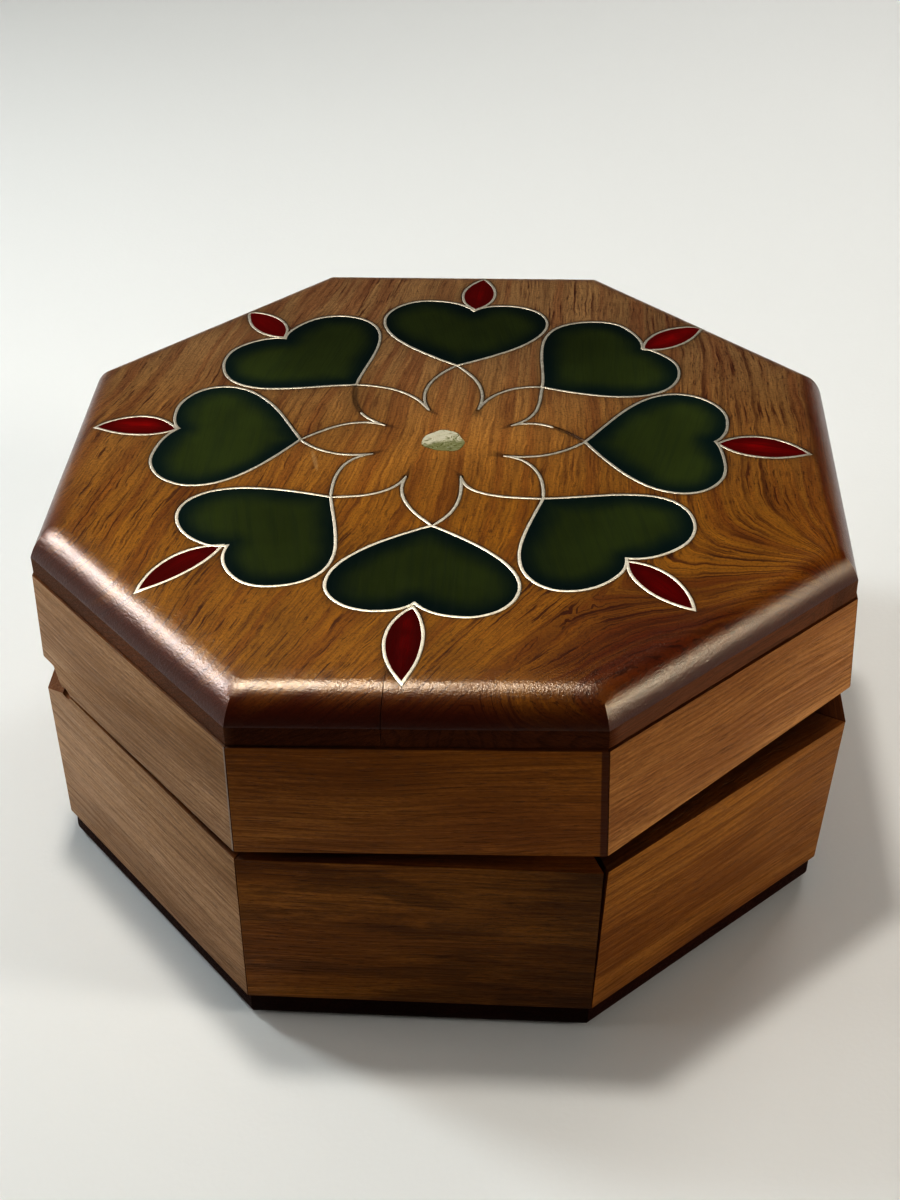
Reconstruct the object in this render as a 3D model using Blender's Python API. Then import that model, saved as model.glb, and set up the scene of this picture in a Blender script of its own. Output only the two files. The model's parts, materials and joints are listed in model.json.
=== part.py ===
"""Octagonal wooden box with a hinged lid, inlaid with a rosette of hearts and leaves.

Sizes are in millimetres and turned into metres where a mesh is made.  +Z is up.
The origin is the centre of the underside, the hinge runs along Y on the left
(-X) and the lid opens from the right (+X).  The lid rests a little ajar.
"""
import math

import bmesh
import bpy
from mathutils import Vector

METRES = 0.001
FIT_GAP = 0.3

# Plan of the box: eight sides, anticlockwise from +X, none of them cut quite true.
SIDES = ("right", "back_right", "back", "back_left", "left", "front_left", "front", "front_right")
SIDE_STEP_DEG = 45.0
SIDE_TURN_DEG = (0.6, 1.5, 0.0, 0.0, 0.0, -2.4, 1.1, -1.2)
LEFT = SIDES.index("left")
HINGED_SIDES = ("back_left", "left", "front_left")

# Bottom board: a plain slab with a softened lower edge, set back under the walls.
BOTTOM_APOTHEM = 74.0
BOTTOM_THICKNESS = 6.4
BOTTOM_EDGE_RADIUS = 2.4
BOTTOM_EDGE_STEPS = 4

# Walls of the base and the lid: mitred boards that lean out towards the seam.
WALL_THICKNESS = 8.0
BASE_WALL_FOOT = 6.7
BASE_RIM = 42.6
BASE_FOOT_APOTHEM = 75.0
BASE_RIM_APOTHEM = 76.2
LID_RIM_APOTHEM = 76.1
LID_WALL_TOP_APOTHEM = 75.4

# One mitre of the base has opened at the rim.
OPEN_MITRE = ("front", "front_right")
OPEN_MITRE_GAP = 0.8

# Lid heights above its rim, and the finger relief cut in its rim on the right.
LID_WALL_HEIGHT = 23.0
LID_BOARD_FOOT = 23.3
LID_BAND_HEIGHT = 4.0
LID_ROUND_HEIGHT = 5.75
LID_ROUND_WIDTH = 6.25
LID_ROUND_STEPS = 8
LID_BOARD_APOTHEM = 75.0
RELIEF_START_X = 31.0
RELIEF_END_X = 75.0
RELIEF_RISE = 2.8

# Hinge: a pin in interleaved wooden knuckles, inside the left wall.
HINGE_X = -71.0
HINGE_Z = BASE_RIM + FIT_GAP / 2
REST_OPEN_DEG = 2.0
PIN_RADIUS = 0.75
PIN_LENGTH = 62.0
PIN_HOLE_RADIUS = PIN_RADIUS + FIT_GAP
PIN_HOLE_LENGTH = 100.0
KNUCKLE_RADIUS = 2.2
BASE_KNUCKLE = (-16.0, 16.0)
LID_KNUCKLES = ((-27.0, -17.0), (17.0, 27.0))
ROUND_SIDES = 20
CUTTER_REACH = 12.0
CUTTER_WIDTH = 200.0

# The V cut along the hinge side, as (x, z) from the hinge axis.
BASE_BEVEL = ((0.0, -FIT_GAP / 2), (-5.2, -3.75))
LID_BEVEL = ((0.0, FIT_GAP / 2), (-1.3, 1.3), (-2.35, 4.4), (-5.1, 4.6))

# Inlay: wires bedded round green hearts and red leaves, and one disc of shell.
WIRE_WIDTH = 0.8
WIRE_HEIGHT = 0.7
INLAY_HEIGHT = 0.8
HEART_POCKET = 1.2
LEAF_POCKET = 1.16
STRAND_POCKET = 1.12
CURVE_STEPS = 6
LEAF_STEPS = 7
STRAND_STEPS = 6
HEART_BELLY = 18.2
SHARPEST_LEAN = 0.4
CUSP_RUN_ON = 1.6

# Each heart: point, turn, then half width, reach and shoulder angle of its right and
# left lobes as seen from the middle of the lid, and the cleft between them.
HEARTS = {
    "front": ((-1.2, -25.2), 268.0, (17.0, 26.1, 61.0), (17.1, 26.8, 60.0), (23.3, -0.7)),
    "front_right": ((18.8, -15.9), 313.0, (18.5, 26.7, 58.0), (17.5, 27.6, 50.0), (23.7, -1.5)),
    "right": ((26.5, 3.8), 0.4, (17.4, 26.4, 60.0), (18.0, 27.8, 54.0), (25.0, 0.6)),
    "back_right": ((17.9, 24.0), 40.3, (16.4, 27.4, 60.0), (16.7, 28.8, 45.0), (25.8, -1.0)),
    "back": ((0.3, 32.2), 87.2, (17.3, 25.8, 60.0), (17.3, 27.0, 60.0), (23.1, -1.3)),
    "back_left": ((-19.7, 24.0), 133.0, (18.0, 27.5, 50.0), (17.9, 28.4, 50.0), (24.9, -0.4)),
    "left": ((-28.6, 3.2), 175.6, (18.0, 26.6, 58.0), (18.0, 27.4, 61.0), (24.5, -1.5)),
    "front_left": ((-20.6, -16.5), 227.5, (18.3, 26.4, 62.0), (16.6, 28.6, 51.0), (23.3, -1.7)),
}

# Each leaf: inner point, outer point, and how far its right and left sides bow out.
LEAVES = {
    "front": ((-2.9, -49.6), (-3.3, -70.1), 4.0, 2.5),
    "front_right": ((34.0, -35.2), (45.2, -49.0), 2.8, 3.2),
    "right": ((52.0, 3.9), (69.2, 0.7), 3.1, 4.0),
    "back_right": ((38.5, 39.6), (51.0, 49.5), 3.0, 3.5),
    "back": ((3.0, 55.8), (4.3, 69.8), 3.3, 3.6),
    "back_left": ((-36.7, 43.0), (-45.5, 53.8), 3.4, 2.9),
    "left": ((-53.3, 6.3), (-69.6, 6.7), 4.4, 2.4),
    "front_left": ((-38.5, -32.4), (-51.5, -46.7), 3.7, 1.7),
}
LEAF_CLEARANCE = 2.0

# Cusps where the strands of two neighbouring hearts meet, named by the heart on
# their right as seen from the middle, and the direction in which each points.
CUSPS = {
    "front": ((3.2, -8.7), 96.0),
    "front_right": ((11.0, -1.5), 170.0),
    "right": ((12.0, 9.3), 205.0),
    "back_right": ((5.4, 15.0), 255.0),
    "back": ((-4.2, 14.5), 295.0),
    "back_left": ((-12.5, 8.8), 335.0),
    "left": ((-14.0, -1.4), 15.0),
    "front_left": ((-7.1, -9.0), 75.0),
}
STRAND_SPREAD_DEG = 45.0
STRAND_TIP_PULL = 0.36
STRAND_CUSP_PULL = 0.42
STRAND_CLEARANCE = 1.3

# Strands that have lost their wire: heart, side of its point, and the part still filled.
LOST_WIRE = {("back_left", "left"): 0.40, ("right", "left"): 0.52}

SHELL_CENTRE = (-0.8, 3.4)
SHELL_RADIUS = 3.9
SHELL_WAVES = ((2, 0.22, 0.6), (3, 0.26, 2.1))
SHELL_POINTS = 16

COLOURS = {
    "lid_board": ((0.25, 0.11, 0.035), 0.28, 0.0),
    "lid_wall": ((0.26, 0.13, 0.06), 0.45, 0.0),
    "base_wall": ((0.20, 0.09, 0.035), 0.45, 0.0),
    "bottom_board": ((0.035, 0.018, 0.010), 0.60, 0.0),
    "green_inlay": ((0.010, 0.022, 0.008), 0.30, 0.0),
    "red_inlay": ((0.16, 0.004, 0.008), 0.30, 0.0),
    "wire": ((0.58, 0.56, 0.45), 0.35, 0.9),
    "shell": ((0.60, 0.62, 0.42), 0.25, 0.0),
    "pin_steel": ((0.30, 0.29, 0.27), 0.40, 1.0),
}


def clear_scene():
    """Remove every object that the file opens with."""
    for obj in list(bpy.data.objects):
        bpy.data.objects.remove(obj, do_unlink=True)


def make_material(name):
    """Return the Principled material of one finish."""
    colour, roughness, metallic = COLOURS[name]
    material = bpy.data.materials.new(name)
    material.use_nodes = True
    shader = material.node_tree.nodes["Principled BSDF"]
    shader.inputs["Base Color"].default_value = (*colour, 1.0)
    shader.inputs["Roughness"].default_value = roughness
    shader.inputs["Metallic"].default_value = metallic
    return material


# ---------------------------------------------------------------- plan geometry

def polar(angle_deg, length=1.0):
    """Return the plan vector with this direction and length."""
    angle = math.radians(angle_deg)
    return Vector((math.cos(angle), math.sin(angle))) * length


def corner(first, second, apothem):
    """Return the plan corner between two neighbouring sides at one apothem."""
    a = polar(SIDE_STEP_DEG * first + SIDE_TURN_DEG[first])
    b = polar(SIDE_STEP_DEG * second + SIDE_TURN_DEG[second])
    cross = a.x * b.y - a.y * b.x
    return Vector(((b.y - a.y) * apothem / cross, (a.x - b.x) * apothem / cross))


def octagon(apothem):
    """Return the eight plan corners, the first between sides 0 and 1."""
    count = len(SIDES)
    return [corner(side, (side + 1) % count, apothem) for side in range(count)]


def bezier(a, b, c, d, steps):
    """Return points along a cubic curve, both ends included."""
    points = []
    for step in range(steps + 1):
        t = step / steps
        s = 1.0 - t
        points.append(a * s ** 3 + b * (3 * s * s * t) + c * (3 * s * t * t) + d * t ** 3)
    return points


def heart_side(lobe, cleft, sign):
    """Return one side of a heart from its point to its cleft, along +X."""
    half, reach, shoulder = lobe
    cleft_x, cleft_y = cleft[0], cleft[1] * sign
    crown = 0.47 * half
    drop = crown - cleft_y
    flank = bezier(Vector((0, 0)), polar(shoulder, 0.5 * half),
                   Vector((HEART_BELLY - 0.45 * half, half)), Vector((HEART_BELLY, half)), CURVE_STEPS)
    lobe_end = bezier(Vector((HEART_BELLY, half)), Vector((HEART_BELLY + 0.27 * half, half)),
                      Vector((reach, crown + 0.28 * half)), Vector((reach, crown)), CURVE_STEPS - 1)
    dip = bezier(Vector((reach, crown)), Vector((reach, crown - 0.38 * drop)),
                 Vector((cleft_x + 0.75 * (reach - cleft_x), cleft_y + 0.22 * drop)),
                 Vector((cleft_x, cleft_y)), CURVE_STEPS - 2)
    points = flank + lobe_end[1:] + dip[1:]
    return [Vector((point.x, point.y * sign)) for point in points]


def heart_outline(name):
    """Return the closed, anticlockwise outline of one heart on the lid's plan."""
    tip, turn, right, left, cleft = HEARTS[name]
    along, across = polar(turn), polar(turn + 90.0)
    right_side = heart_side(right, cleft, -1.0)
    left_side = heart_side(left, cleft, 1.0)
    loop = right_side + left_side[-2:0:-1]
    return [Vector(tip) + along * point.x + across * point.y for point in loop]


def leaf_outline(name):
    """Return the closed, anticlockwise outline of one pointed leaf."""
    inner, outer, bow_right, bow_left = LEAVES[name]
    inner, outer = Vector(inner), Vector(outer)
    inner = inner + (outer - inner).normalized() * LEAF_CLEARANCE
    along = outer - inner
    across = Vector((-along.y, along.x)).normalized()
    sides = []
    for bow in (-bow_right, bow_left):
        push = across * (bow * 4.0 / 3.0)
        sides.append(bezier(inner, inner + along * 0.24 + push, inner + along * 0.66 + push, outer, LEAF_STEPS))
    return sides[0] + sides[1][-2:0:-1]


def strand(heart, cusp, side):
    """Return the strand from a heart's point to one of the cusps beside it."""
    tip, turn = Vector(HEARTS[heart][0]), HEARTS[heart][1]
    end, pointing = Vector(CUSPS[cusp][0]), CUSPS[cusp][1]
    spread = STRAND_SPREAD_DEG if side == "left" else -STRAND_SPREAD_DEG
    length = (end - tip).length
    return bezier(tip, tip + polar(turn + 180.0 - spread, length * STRAND_TIP_PULL),
                  end - polar(pointing, length * STRAND_CUSP_PULL), end, STRAND_STEPS)


def shell_outline():
    """Return the closed outline of the worn disc of shell."""
    points = []
    for step in range(SHELL_POINTS):
        angle = 2 * math.pi * step / SHELL_POINTS
        radius = SHELL_RADIUS
        for waves, depth, phase in SHELL_WAVES:
            radius += depth * math.cos(waves * angle + phase)
        points.append(Vector(SHELL_CENTRE) + Vector((math.cos(angle), math.sin(angle))) * radius)
    return points


def offset_point(before, point, after, distance):
    """Move a point to the right of its two edges, keeping the edges parallel."""
    first = (point - before).normalized()
    second = (after - point).normalized()
    normal = Vector((first.y + second.y, -first.x - second.x)).normalized()
    lean = max(normal.dot(Vector((first.y, -first.x))), SHARPEST_LEAN)
    return point + normal * (distance / lean)


def offset_loop(points, distance):
    """Grow (or, below zero, shrink) an anticlockwise loop."""
    count = len(points)
    return [offset_point(points[i - 1], points[i], points[(i + 1) % count], distance)
            for i in range(count)]


def stroke_loop(points, half_width):
    """Return the closed outline of a stroke with square ends along a path."""
    ahead = [points[0] * 2 - points[1]] + list(points) + [points[-1] * 2 - points[-2]]
    right = [offset_point(ahead[i - 1], ahead[i], ahead[i + 1], half_width)
             for i in range(1, len(ahead) - 1)]
    left = [offset_point(ahead[i - 1], ahead[i], ahead[i + 1], -half_width)
            for i in range(1, len(ahead) - 1)]
    return right + left[::-1]


def trim_start(points, distance):
    """Drop the first stretch of a path."""
    path = list(points)
    while len(path) > 2 and (path[1] - path[0]).length <= distance:
        distance -= (path[1] - path[0]).length
        path.pop(0)
    path[0] = path[0] + (path[1] - path[0]).normalized() * distance
    return path


def keep_part(points, share):
    """Keep the first part of a path, by its share of the length."""
    total = sum((b - a).length for a, b in zip(points, points[1:]))
    left = total * share
    path = [points[0]]
    for a, b in zip(points, points[1:]):
        step = (b - a).length
        if step >= left:
            path.append(a + (b - a) * (left / step))
            break
        path.append(b)
        left -= step
    return path


# ---------------------------------------------------------------- closed solids

def loft(rings):
    """Return a closed mesh through rings of equal length, with flat ends."""
    mesh = bmesh.new()
    rows = [[mesh.verts.new(Vector(point) * METRES) for point in ring] for ring in rings]
    count = len(rows[0])
    for low, high in zip(rows, rows[1:]):
        for i in range(count):
            j = (i + 1) % count
            mesh.faces.new((low[i], low[j], high[j], high[i]))
    mesh.faces.new(rows[0][::-1])
    mesh.faces.new(rows[-1])
    return mesh


def at_height(loop, height):
    """Lift a plan loop to one height."""
    return [(point.x, point.y, height) for point in loop]


def prism(loop, low, high):
    """Return an upright prism on a plan loop."""
    return loft([at_height(loop, low), at_height(loop, high)])


def band(outer, inner, low, high):
    """Return a closed ring between two plan loops of equal length."""
    mesh = bmesh.new()
    loops = (at_height(outer, low), at_height(outer, high), at_height(inner, high), at_height(inner, low))
    rows = [[mesh.verts.new(Vector(point) * METRES) for point in loop] for loop in loops]
    count = len(outer)
    for first, second in zip(rows, rows[1:] + rows[:1]):
        for i in range(count):
            j = (i + 1) % count
            mesh.faces.new((first[i], first[j], second[j], second[i]))
    return mesh


def long_prism(profile, start, end):
    """Return a bar along Y on an (x, z) profile measured from the hinge axis."""
    rings = [[(HINGE_X + x, y, HINGE_Z + z) for x, z in profile] for y in (start, end)]
    mesh = loft(rings)
    bmesh.ops.recalc_face_normals(mesh, faces=mesh.faces)
    return mesh


def barrel(radius, start, end):
    """Return a round bar on the hinge axis."""
    profile = [polar(360.0 * (i + 0.5) / ROUND_SIDES, radius) for i in range(ROUND_SIDES)]
    return long_prism([(point.x, point.y) for point in profile], start, end)


def mesh_object(name, mesh):
    """Turn a bmesh into an object at the origin."""
    data = bpy.data.meshes.new(name)
    mesh.to_mesh(data)
    mesh.free()
    obj = bpy.data.objects.new(name, data)
    bpy.context.scene.collection.objects.link(obj)
    return obj


def combine(obj, tool_mesh, operation):
    """Cut, or join on, one shape and apply the result."""
    tool = mesh_object("tool", tool_mesh)
    modifier = obj.modifiers.new("fit", "BOOLEAN")
    modifier.operation = operation
    modifier.solver = "EXACT"
    modifier.object = tool
    depsgraph = bpy.context.evaluated_depsgraph_get()
    depsgraph.update()
    result = bpy.data.meshes.new_from_object(obj.evaluated_get(depsgraph))
    obj.modifiers.clear()
    old = obj.data
    obj.data = result
    bpy.data.meshes.remove(old)
    bpy.data.objects.remove(tool, do_unlink=True)


def seat(obj, material, origin, parent):
    """Give a piece its finish and its own origin, and hang it on its parent."""
    centre = Vector(origin) * METRES
    obj.data.transform(obj.matrix_world.inverted())
    for vertex in obj.data.vertices:
        vertex.co -= centre
    obj.data.materials.clear()
    obj.data.materials.append(material)
    obj.parent = parent
    hung_from = parent.location if parent else Vector((0.0, 0.0, 0.0))
    obj.location = centre - hung_from


# ---------------------------------------------------------------- box

def finger_relief(x):
    """Return how far the lid's rim is cut up at this place."""
    share = (x - RELIEF_START_X) / (RELIEF_END_X - RELIEF_START_X)
    return RELIEF_RISE * max(0.0, share)


def wall_board(side, levels, mitre_gaps, rim_rise):
    """Return one mitred wall board.

    levels holds (height, apothem) at the board's foot and head, mitre_gaps the
    clearance at its two ends for each level, and rim_rise lifts the foot by x.
    """
    count = len(SIDES)
    before, after = (side - 1) % count, (side + 1) % count
    normal = polar(SIDE_STEP_DEG * side + SIDE_TURN_DEG[side])
    along = Vector((-normal.y, normal.x))
    slant = math.cos(math.radians(SIDE_STEP_DEG / 2))
    rings = []
    for level, (height, apothem) in enumerate(levels):
        ring = []
        for depth, ends in ((0.0, (0, 1)), (WALL_THICKNESS, (1, 0))):
            for end in ends:
                pair = ((before, side), (side, after))[end]
                direction = (along, -along)[end]
                point = corner(*pair, apothem - depth) + direction * (mitre_gaps[level][end] / slant)
                ring.append((point.x, point.y, height + (rim_rise(point.x) if level == 0 else 0.0)))
        rings.append(ring)
    return loft(rings)


def hinge_room(spans):
    """Return the shapes that leave room round the other body's knuckles."""
    room = KNUCKLE_RADIUS + FIT_GAP
    shapes = []
    for start, end in spans:
        shapes.append(barrel(room, start - FIT_GAP, end + FIT_GAP))
    return shapes


def inner_room(spans, low, high):
    """Return the openings from the knuckle rooms to the inside of the box."""
    profile = ((0.0, low), (CUTTER_REACH, low), (CUTTER_REACH, high), (0.0, high))
    return [long_prism(profile, start - FIT_GAP, end + FIT_GAP) for start, end in spans]


def bevel_cutter(bevel, away):
    """Return the wedge taken off along the hinge side, open towards away."""
    (x0, z0), (x1, z1) = bevel[-2], bevel[-1]
    slope = (z1 - z0) / (x1 - x0)
    far = -CUTTER_REACH
    profile = list(bevel[:-1]) + [(far, z0 + slope * (far - x0)), (far, away), (0.0, away)]
    return long_prism(profile, -CUTTER_WIDTH / 2, CUTTER_WIDTH / 2)


def cut_hinge(obj, side, is_lid):
    """Cut the V, the knuckles and the pin hole into a board beside the hinge."""
    combine(obj, bevel_cutter(LID_BEVEL if is_lid else BASE_BEVEL, -1.0 if is_lid else 1.0), "DIFFERENCE")
    if side == "left":
        own, other = (LID_KNUCKLES, (BASE_KNUCKLE,)) if is_lid else ((BASE_KNUCKLE,), LID_KNUCKLES)
        room = KNUCKLE_RADIUS + FIT_GAP
        low, high = (-1.0, room) if is_lid else (-room, 1.0)
        for shape in hinge_room(other) + inner_room(other, low, high):
            combine(obj, shape, "DIFFERENCE")
        for start, end in own:
            combine(obj, barrel(KNUCKLE_RADIUS, start, end), "UNION")
    combine(obj, barrel(PIN_HOLE_RADIUS, -PIN_HOLE_LENGTH / 2, PIN_HOLE_LENGTH / 2), "DIFFERENCE")


def build_base(materials):
    """Make the bottom board, the eight base walls and the hinge pin."""
    rings = []
    for step in range(BOTTOM_EDGE_STEPS + 1):
        angle = math.radians(90.0 * step / BOTTOM_EDGE_STEPS)
        inset = BOTTOM_EDGE_RADIUS * (1.0 - math.sin(angle))
        height = BOTTOM_EDGE_RADIUS * (1.0 - math.cos(angle))
        rings.append(at_height(octagon(BOTTOM_APOTHEM - inset), height))
    rings.append(at_height(octagon(BOTTOM_APOTHEM), BOTTOM_THICKNESS))
    bottom = mesh_object("bottom_board", loft(rings))
    seat(bottom, materials["bottom_board"], (0, 0, 0), None)

    levels = ((BASE_WALL_FOOT, BASE_FOOT_APOTHEM), (BASE_RIM, BASE_RIM_APOTHEM))
    tight = FIT_GAP / 2
    for side, name in enumerate(SIDES):
        head_gaps = [tight, tight]
        if name == OPEN_MITRE[0]:
            head_gaps[1] = OPEN_MITRE_GAP / 2
        if name == OPEN_MITRE[1]:
            head_gaps[0] = OPEN_MITRE_GAP / 2
        wall = mesh_object("base_wall_" + name,
                           wall_board(side, levels, ((tight, tight), head_gaps), lambda x: 0.0))
        if name in HINGED_SIDES:
            cut_hinge(wall, name, False)
        middle = polar(SIDE_STEP_DEG * side, BASE_FOOT_APOTHEM)
        seat(wall, materials["base_wall"], (middle.x, middle.y, BASE_WALL_FOOT), None)

    pin = mesh_object("hinge_pin", barrel(PIN_RADIUS, -PIN_LENGTH / 2, PIN_LENGTH / 2))
    seat(pin, materials["pin_steel"], (HINGE_X, 0, HINGE_Z), None)
    pin.data.shade_smooth()
    pin.data.set_sharp_from_angle(angle=math.radians(40))


def build_lid_walls(materials, lid_axis, rim):
    """Make the eight walls of the lid, cut away along the hinge and at the rim."""
    levels = ((rim, LID_RIM_APOTHEM), (rim + LID_WALL_HEIGHT, LID_WALL_TOP_APOTHEM))
    gaps = ((FIT_GAP / 2, FIT_GAP / 2), (FIT_GAP / 2, FIT_GAP / 2))
    for side, name in enumerate(SIDES):
        wall = mesh_object("lid_wall_" + name, wall_board(side, levels, gaps, finger_relief))
        if name in HINGED_SIDES:
            cut_hinge(wall, name, True)
        middle = polar(SIDE_STEP_DEG * side, LID_RIM_APOTHEM)
        seat(wall, materials["lid_wall"], (middle.x, middle.y, rim), lid_axis)


def build_lid_board(materials, lid_axis, foot):
    """Make the lid's top board with its rounded edge and all the inlay pockets."""
    band_top = foot + LID_BAND_HEIGHT
    rings = [at_height(octagon(LID_BOARD_APOTHEM), foot)]
    for step in range(LID_ROUND_STEPS + 1):
        angle = math.radians(90.0 * step / LID_ROUND_STEPS)
        inset = LID_ROUND_WIDTH * (1.0 - math.cos(angle))
        rings.append(at_height(octagon(LID_BOARD_APOTHEM - inset), band_top + LID_ROUND_HEIGHT * math.sin(angle)))
    board = mesh_object("lid_board", loft(rings))
    top = band_top + LID_ROUND_HEIGHT
    over = top + 1.0
    margin = WIRE_WIDTH / 2 + FIT_GAP
    for name in HEARTS:
        combine(board, prism(offset_loop(heart_outline(name), margin), top - HEART_POCKET, over), "DIFFERENCE")
    for name in LEAVES:
        combine(board, prism(offset_loop(leaf_outline(name), margin), top - LEAF_POCKET, over), "DIFFERENCE")
    for name, neighbour in heart_pairs():
        for path in (strand(name, name, "left"), strand(neighbour, name, "right")):
            groove = path + [path[-1] + polar(CUSPS[name][1], CUSP_RUN_ON)]
            combine(board, prism(stroke_loop(groove, margin), top - STRAND_POCKET, over), "DIFFERENCE")
    combine(board, prism(offset_loop(shell_outline(), FIT_GAP), top - HEART_POCKET, over), "DIFFERENCE")
    seat(board, materials["lid_board"], (0, 0, foot), lid_axis)
    return top


def heart_pairs():
    """Return each heart with the next one anticlockwise."""
    names = list(HEARTS)
    return list(zip(names, names[1:] + names[:1]))


def build_inlay(materials, lid_axis, top):
    """Make the hearts, leaves, shell and wires, flush with the top of the lid."""
    half = WIRE_WIDTH / 2
    bed = -half - FIT_GAP
    for name in HEARTS:
        outline = heart_outline(name)
        tip = (*HEARTS[name][0], top)
        heart = mesh_object("heart_" + name, prism(offset_loop(outline, bed), top - INLAY_HEIGHT, top))
        seat(heart, materials["green_inlay"], tip, lid_axis)
        wire = mesh_object("heart_wire_" + name,
                           band(offset_loop(outline, half), offset_loop(outline, -half), top - WIRE_HEIGHT, top))
        seat(wire, materials["wire"], tip, lid_axis)
    for name in LEAVES:
        outline = leaf_outline(name)
        tip = (*LEAVES[name][0], top)
        leaf = mesh_object("leaf_" + name, prism(offset_loop(outline, bed), top - INLAY_HEIGHT, top))
        seat(leaf, materials["red_inlay"], tip, lid_axis)
        wire = mesh_object("leaf_wire_" + name,
                           band(offset_loop(outline, half), offset_loop(outline, -half), top - WIRE_HEIGHT, top))
        seat(wire, materials["wire"], tip, lid_axis)
    for name, neighbour in heart_pairs():
        strokes = []
        for heart, side in ((name, "left"), (neighbour, "right")):
            path = strand(heart, name, side)
            if (heart, side) in LOST_WIRE:
                path = keep_part(path[::-1], LOST_WIRE[heart, side])[::-1]
            else:
                path = trim_start(path, STRAND_CLEARANCE)
            path.append(path[-1] + polar(CUSPS[name][1], WIRE_WIDTH / 2))
            strokes.append(prism(stroke_loop(path, half), top - WIRE_HEIGHT, top))
        wire = mesh_object("strand_wire_" + name, strokes[0])
        combine(wire, strokes[1], "UNION")
        seat(wire, materials["wire"], (*CUSPS[name][0], top), lid_axis)
    shell = mesh_object("centre_shell", prism(shell_outline(), top - INLAY_HEIGHT, top))
    seat(shell, materials["shell"], (*SHELL_CENTRE, top), lid_axis)


def build_box():
    """Build the whole box with its lid a little ajar."""
    clear_scene()
    materials = {name: make_material(name) for name in COLOURS}
    build_base(materials)
    lid_axis = bpy.data.objects.new("lid_axis", None)
    bpy.context.scene.collection.objects.link(lid_axis)
    lid_axis.location = Vector((HINGE_X, 0.0, HINGE_Z)) * METRES
    rim = HINGE_Z + FIT_GAP / 2
    build_lid_walls(materials, lid_axis, rim)
    top = build_lid_board(materials, lid_axis, rim + LID_BOARD_FOOT)
    build_inlay(materials, lid_axis, top)
    lid_axis.rotation_euler = (0.0, math.radians(-REST_OPEN_DEG), 0.0)


build_box()
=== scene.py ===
"""Visual model of an eight-sided wooden box with an inlaid, hinged lid.

Plan sizes are in millimetres, in the plan of the closed box.  Meshes are turned into
metres, and the lid's pieces are tipped open about the hinge, as they are finished.
"""

import json
import math

import bmesh
import bpy
import numpy as np
from bpy.props import FloatProperty, FloatVectorProperty, PointerProperty
from bpy.types import Operator, Panel, PropertyGroup
from mathutils import Euler, Matrix, Vector, noise
from mathutils.geometry import delaunay_2d_cdt


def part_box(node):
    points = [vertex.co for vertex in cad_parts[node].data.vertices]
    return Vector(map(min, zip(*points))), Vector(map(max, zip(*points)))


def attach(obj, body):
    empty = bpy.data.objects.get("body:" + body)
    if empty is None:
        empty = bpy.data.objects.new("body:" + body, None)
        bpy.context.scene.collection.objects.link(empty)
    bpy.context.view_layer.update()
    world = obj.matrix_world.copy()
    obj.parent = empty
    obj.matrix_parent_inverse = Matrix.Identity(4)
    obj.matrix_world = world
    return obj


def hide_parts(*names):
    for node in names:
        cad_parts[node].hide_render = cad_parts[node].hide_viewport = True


bl_info = {
    "name": "Inlaid Eight-Sided Box",
    "version": (1, 0, 0),
    "blender": (4, 5, 0),
    "location": "View3D > Sidebar > Inlaid Box",
    "description": "Builds an eight-sided wooden box whose lid is inlaid with hearts and leaves",
    "category": "Object",
}

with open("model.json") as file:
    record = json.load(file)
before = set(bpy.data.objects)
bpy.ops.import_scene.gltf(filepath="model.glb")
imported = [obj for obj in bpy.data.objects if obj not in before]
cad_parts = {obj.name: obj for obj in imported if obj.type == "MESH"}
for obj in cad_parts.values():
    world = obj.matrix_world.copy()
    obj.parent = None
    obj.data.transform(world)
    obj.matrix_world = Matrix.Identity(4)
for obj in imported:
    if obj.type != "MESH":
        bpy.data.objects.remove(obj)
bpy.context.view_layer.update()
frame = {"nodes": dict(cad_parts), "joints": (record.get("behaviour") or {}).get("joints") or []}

MM = 0.001
RIGHT, BACK, UP = Vector((1, 0, 0)), Vector((0, 1, 0)), Vector((0, 0, 1))

# Plan of the box: eight sides, anticlockwise from +X, none of them cut quite true.
SIDES = ("right", "back_right", "back", "back_left", "left", "front_left", "front", "front_right")
SIDE_STEP_DEG = 45.0
SIDE_TURN_DEG = (0.6, 1.5, 0.0, 0.0, 0.0, -2.4, 1.1, -1.2)
HINGED_SIDES = ("back_left", "left", "front_left")

# Boards: how far their outer faces lie from the middle, and their rounded and eased edges.
BOTTOM_APOTHEM = 74.0
BOTTOM_ROUND = 2.4
BOTTOM_ROUND_STEPS = 8
BOTTOM_EASE = 0.15
WALL_THICKNESS = 8.0
BASE_FOOT_APOTHEM = 75.0
BASE_RIM_APOTHEM = 76.2
LID_RIM_APOTHEM = 76.1
LID_WALL_TOP_APOTHEM = 75.4
LID_BAND_HEIGHT = 4.0
LID_ROUND_HEIGHT = 5.75
LID_ROUND_WIDTH = 6.25
LID_ROUND_STOP = math.radians(25.0)
LID_BOARD_APOTHEM = 75.0

# The lid's lower rim rises away from the hinge.
RELIEF_START_X = 31.0
RELIEF_END_X = 75.0
RELIEF_RISE = 2.8

# Joints: the gap in the mitres, the one that has opened, and how far the walls are let in.
MITRE_GAP = 0.05
OPEN_MITRE = ("front", "front_right")
OPEN_MITRE_GAP = 0.8
FOOT_OVERLAP = 0.2
HEAD_OVERLAP = 0.24

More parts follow.
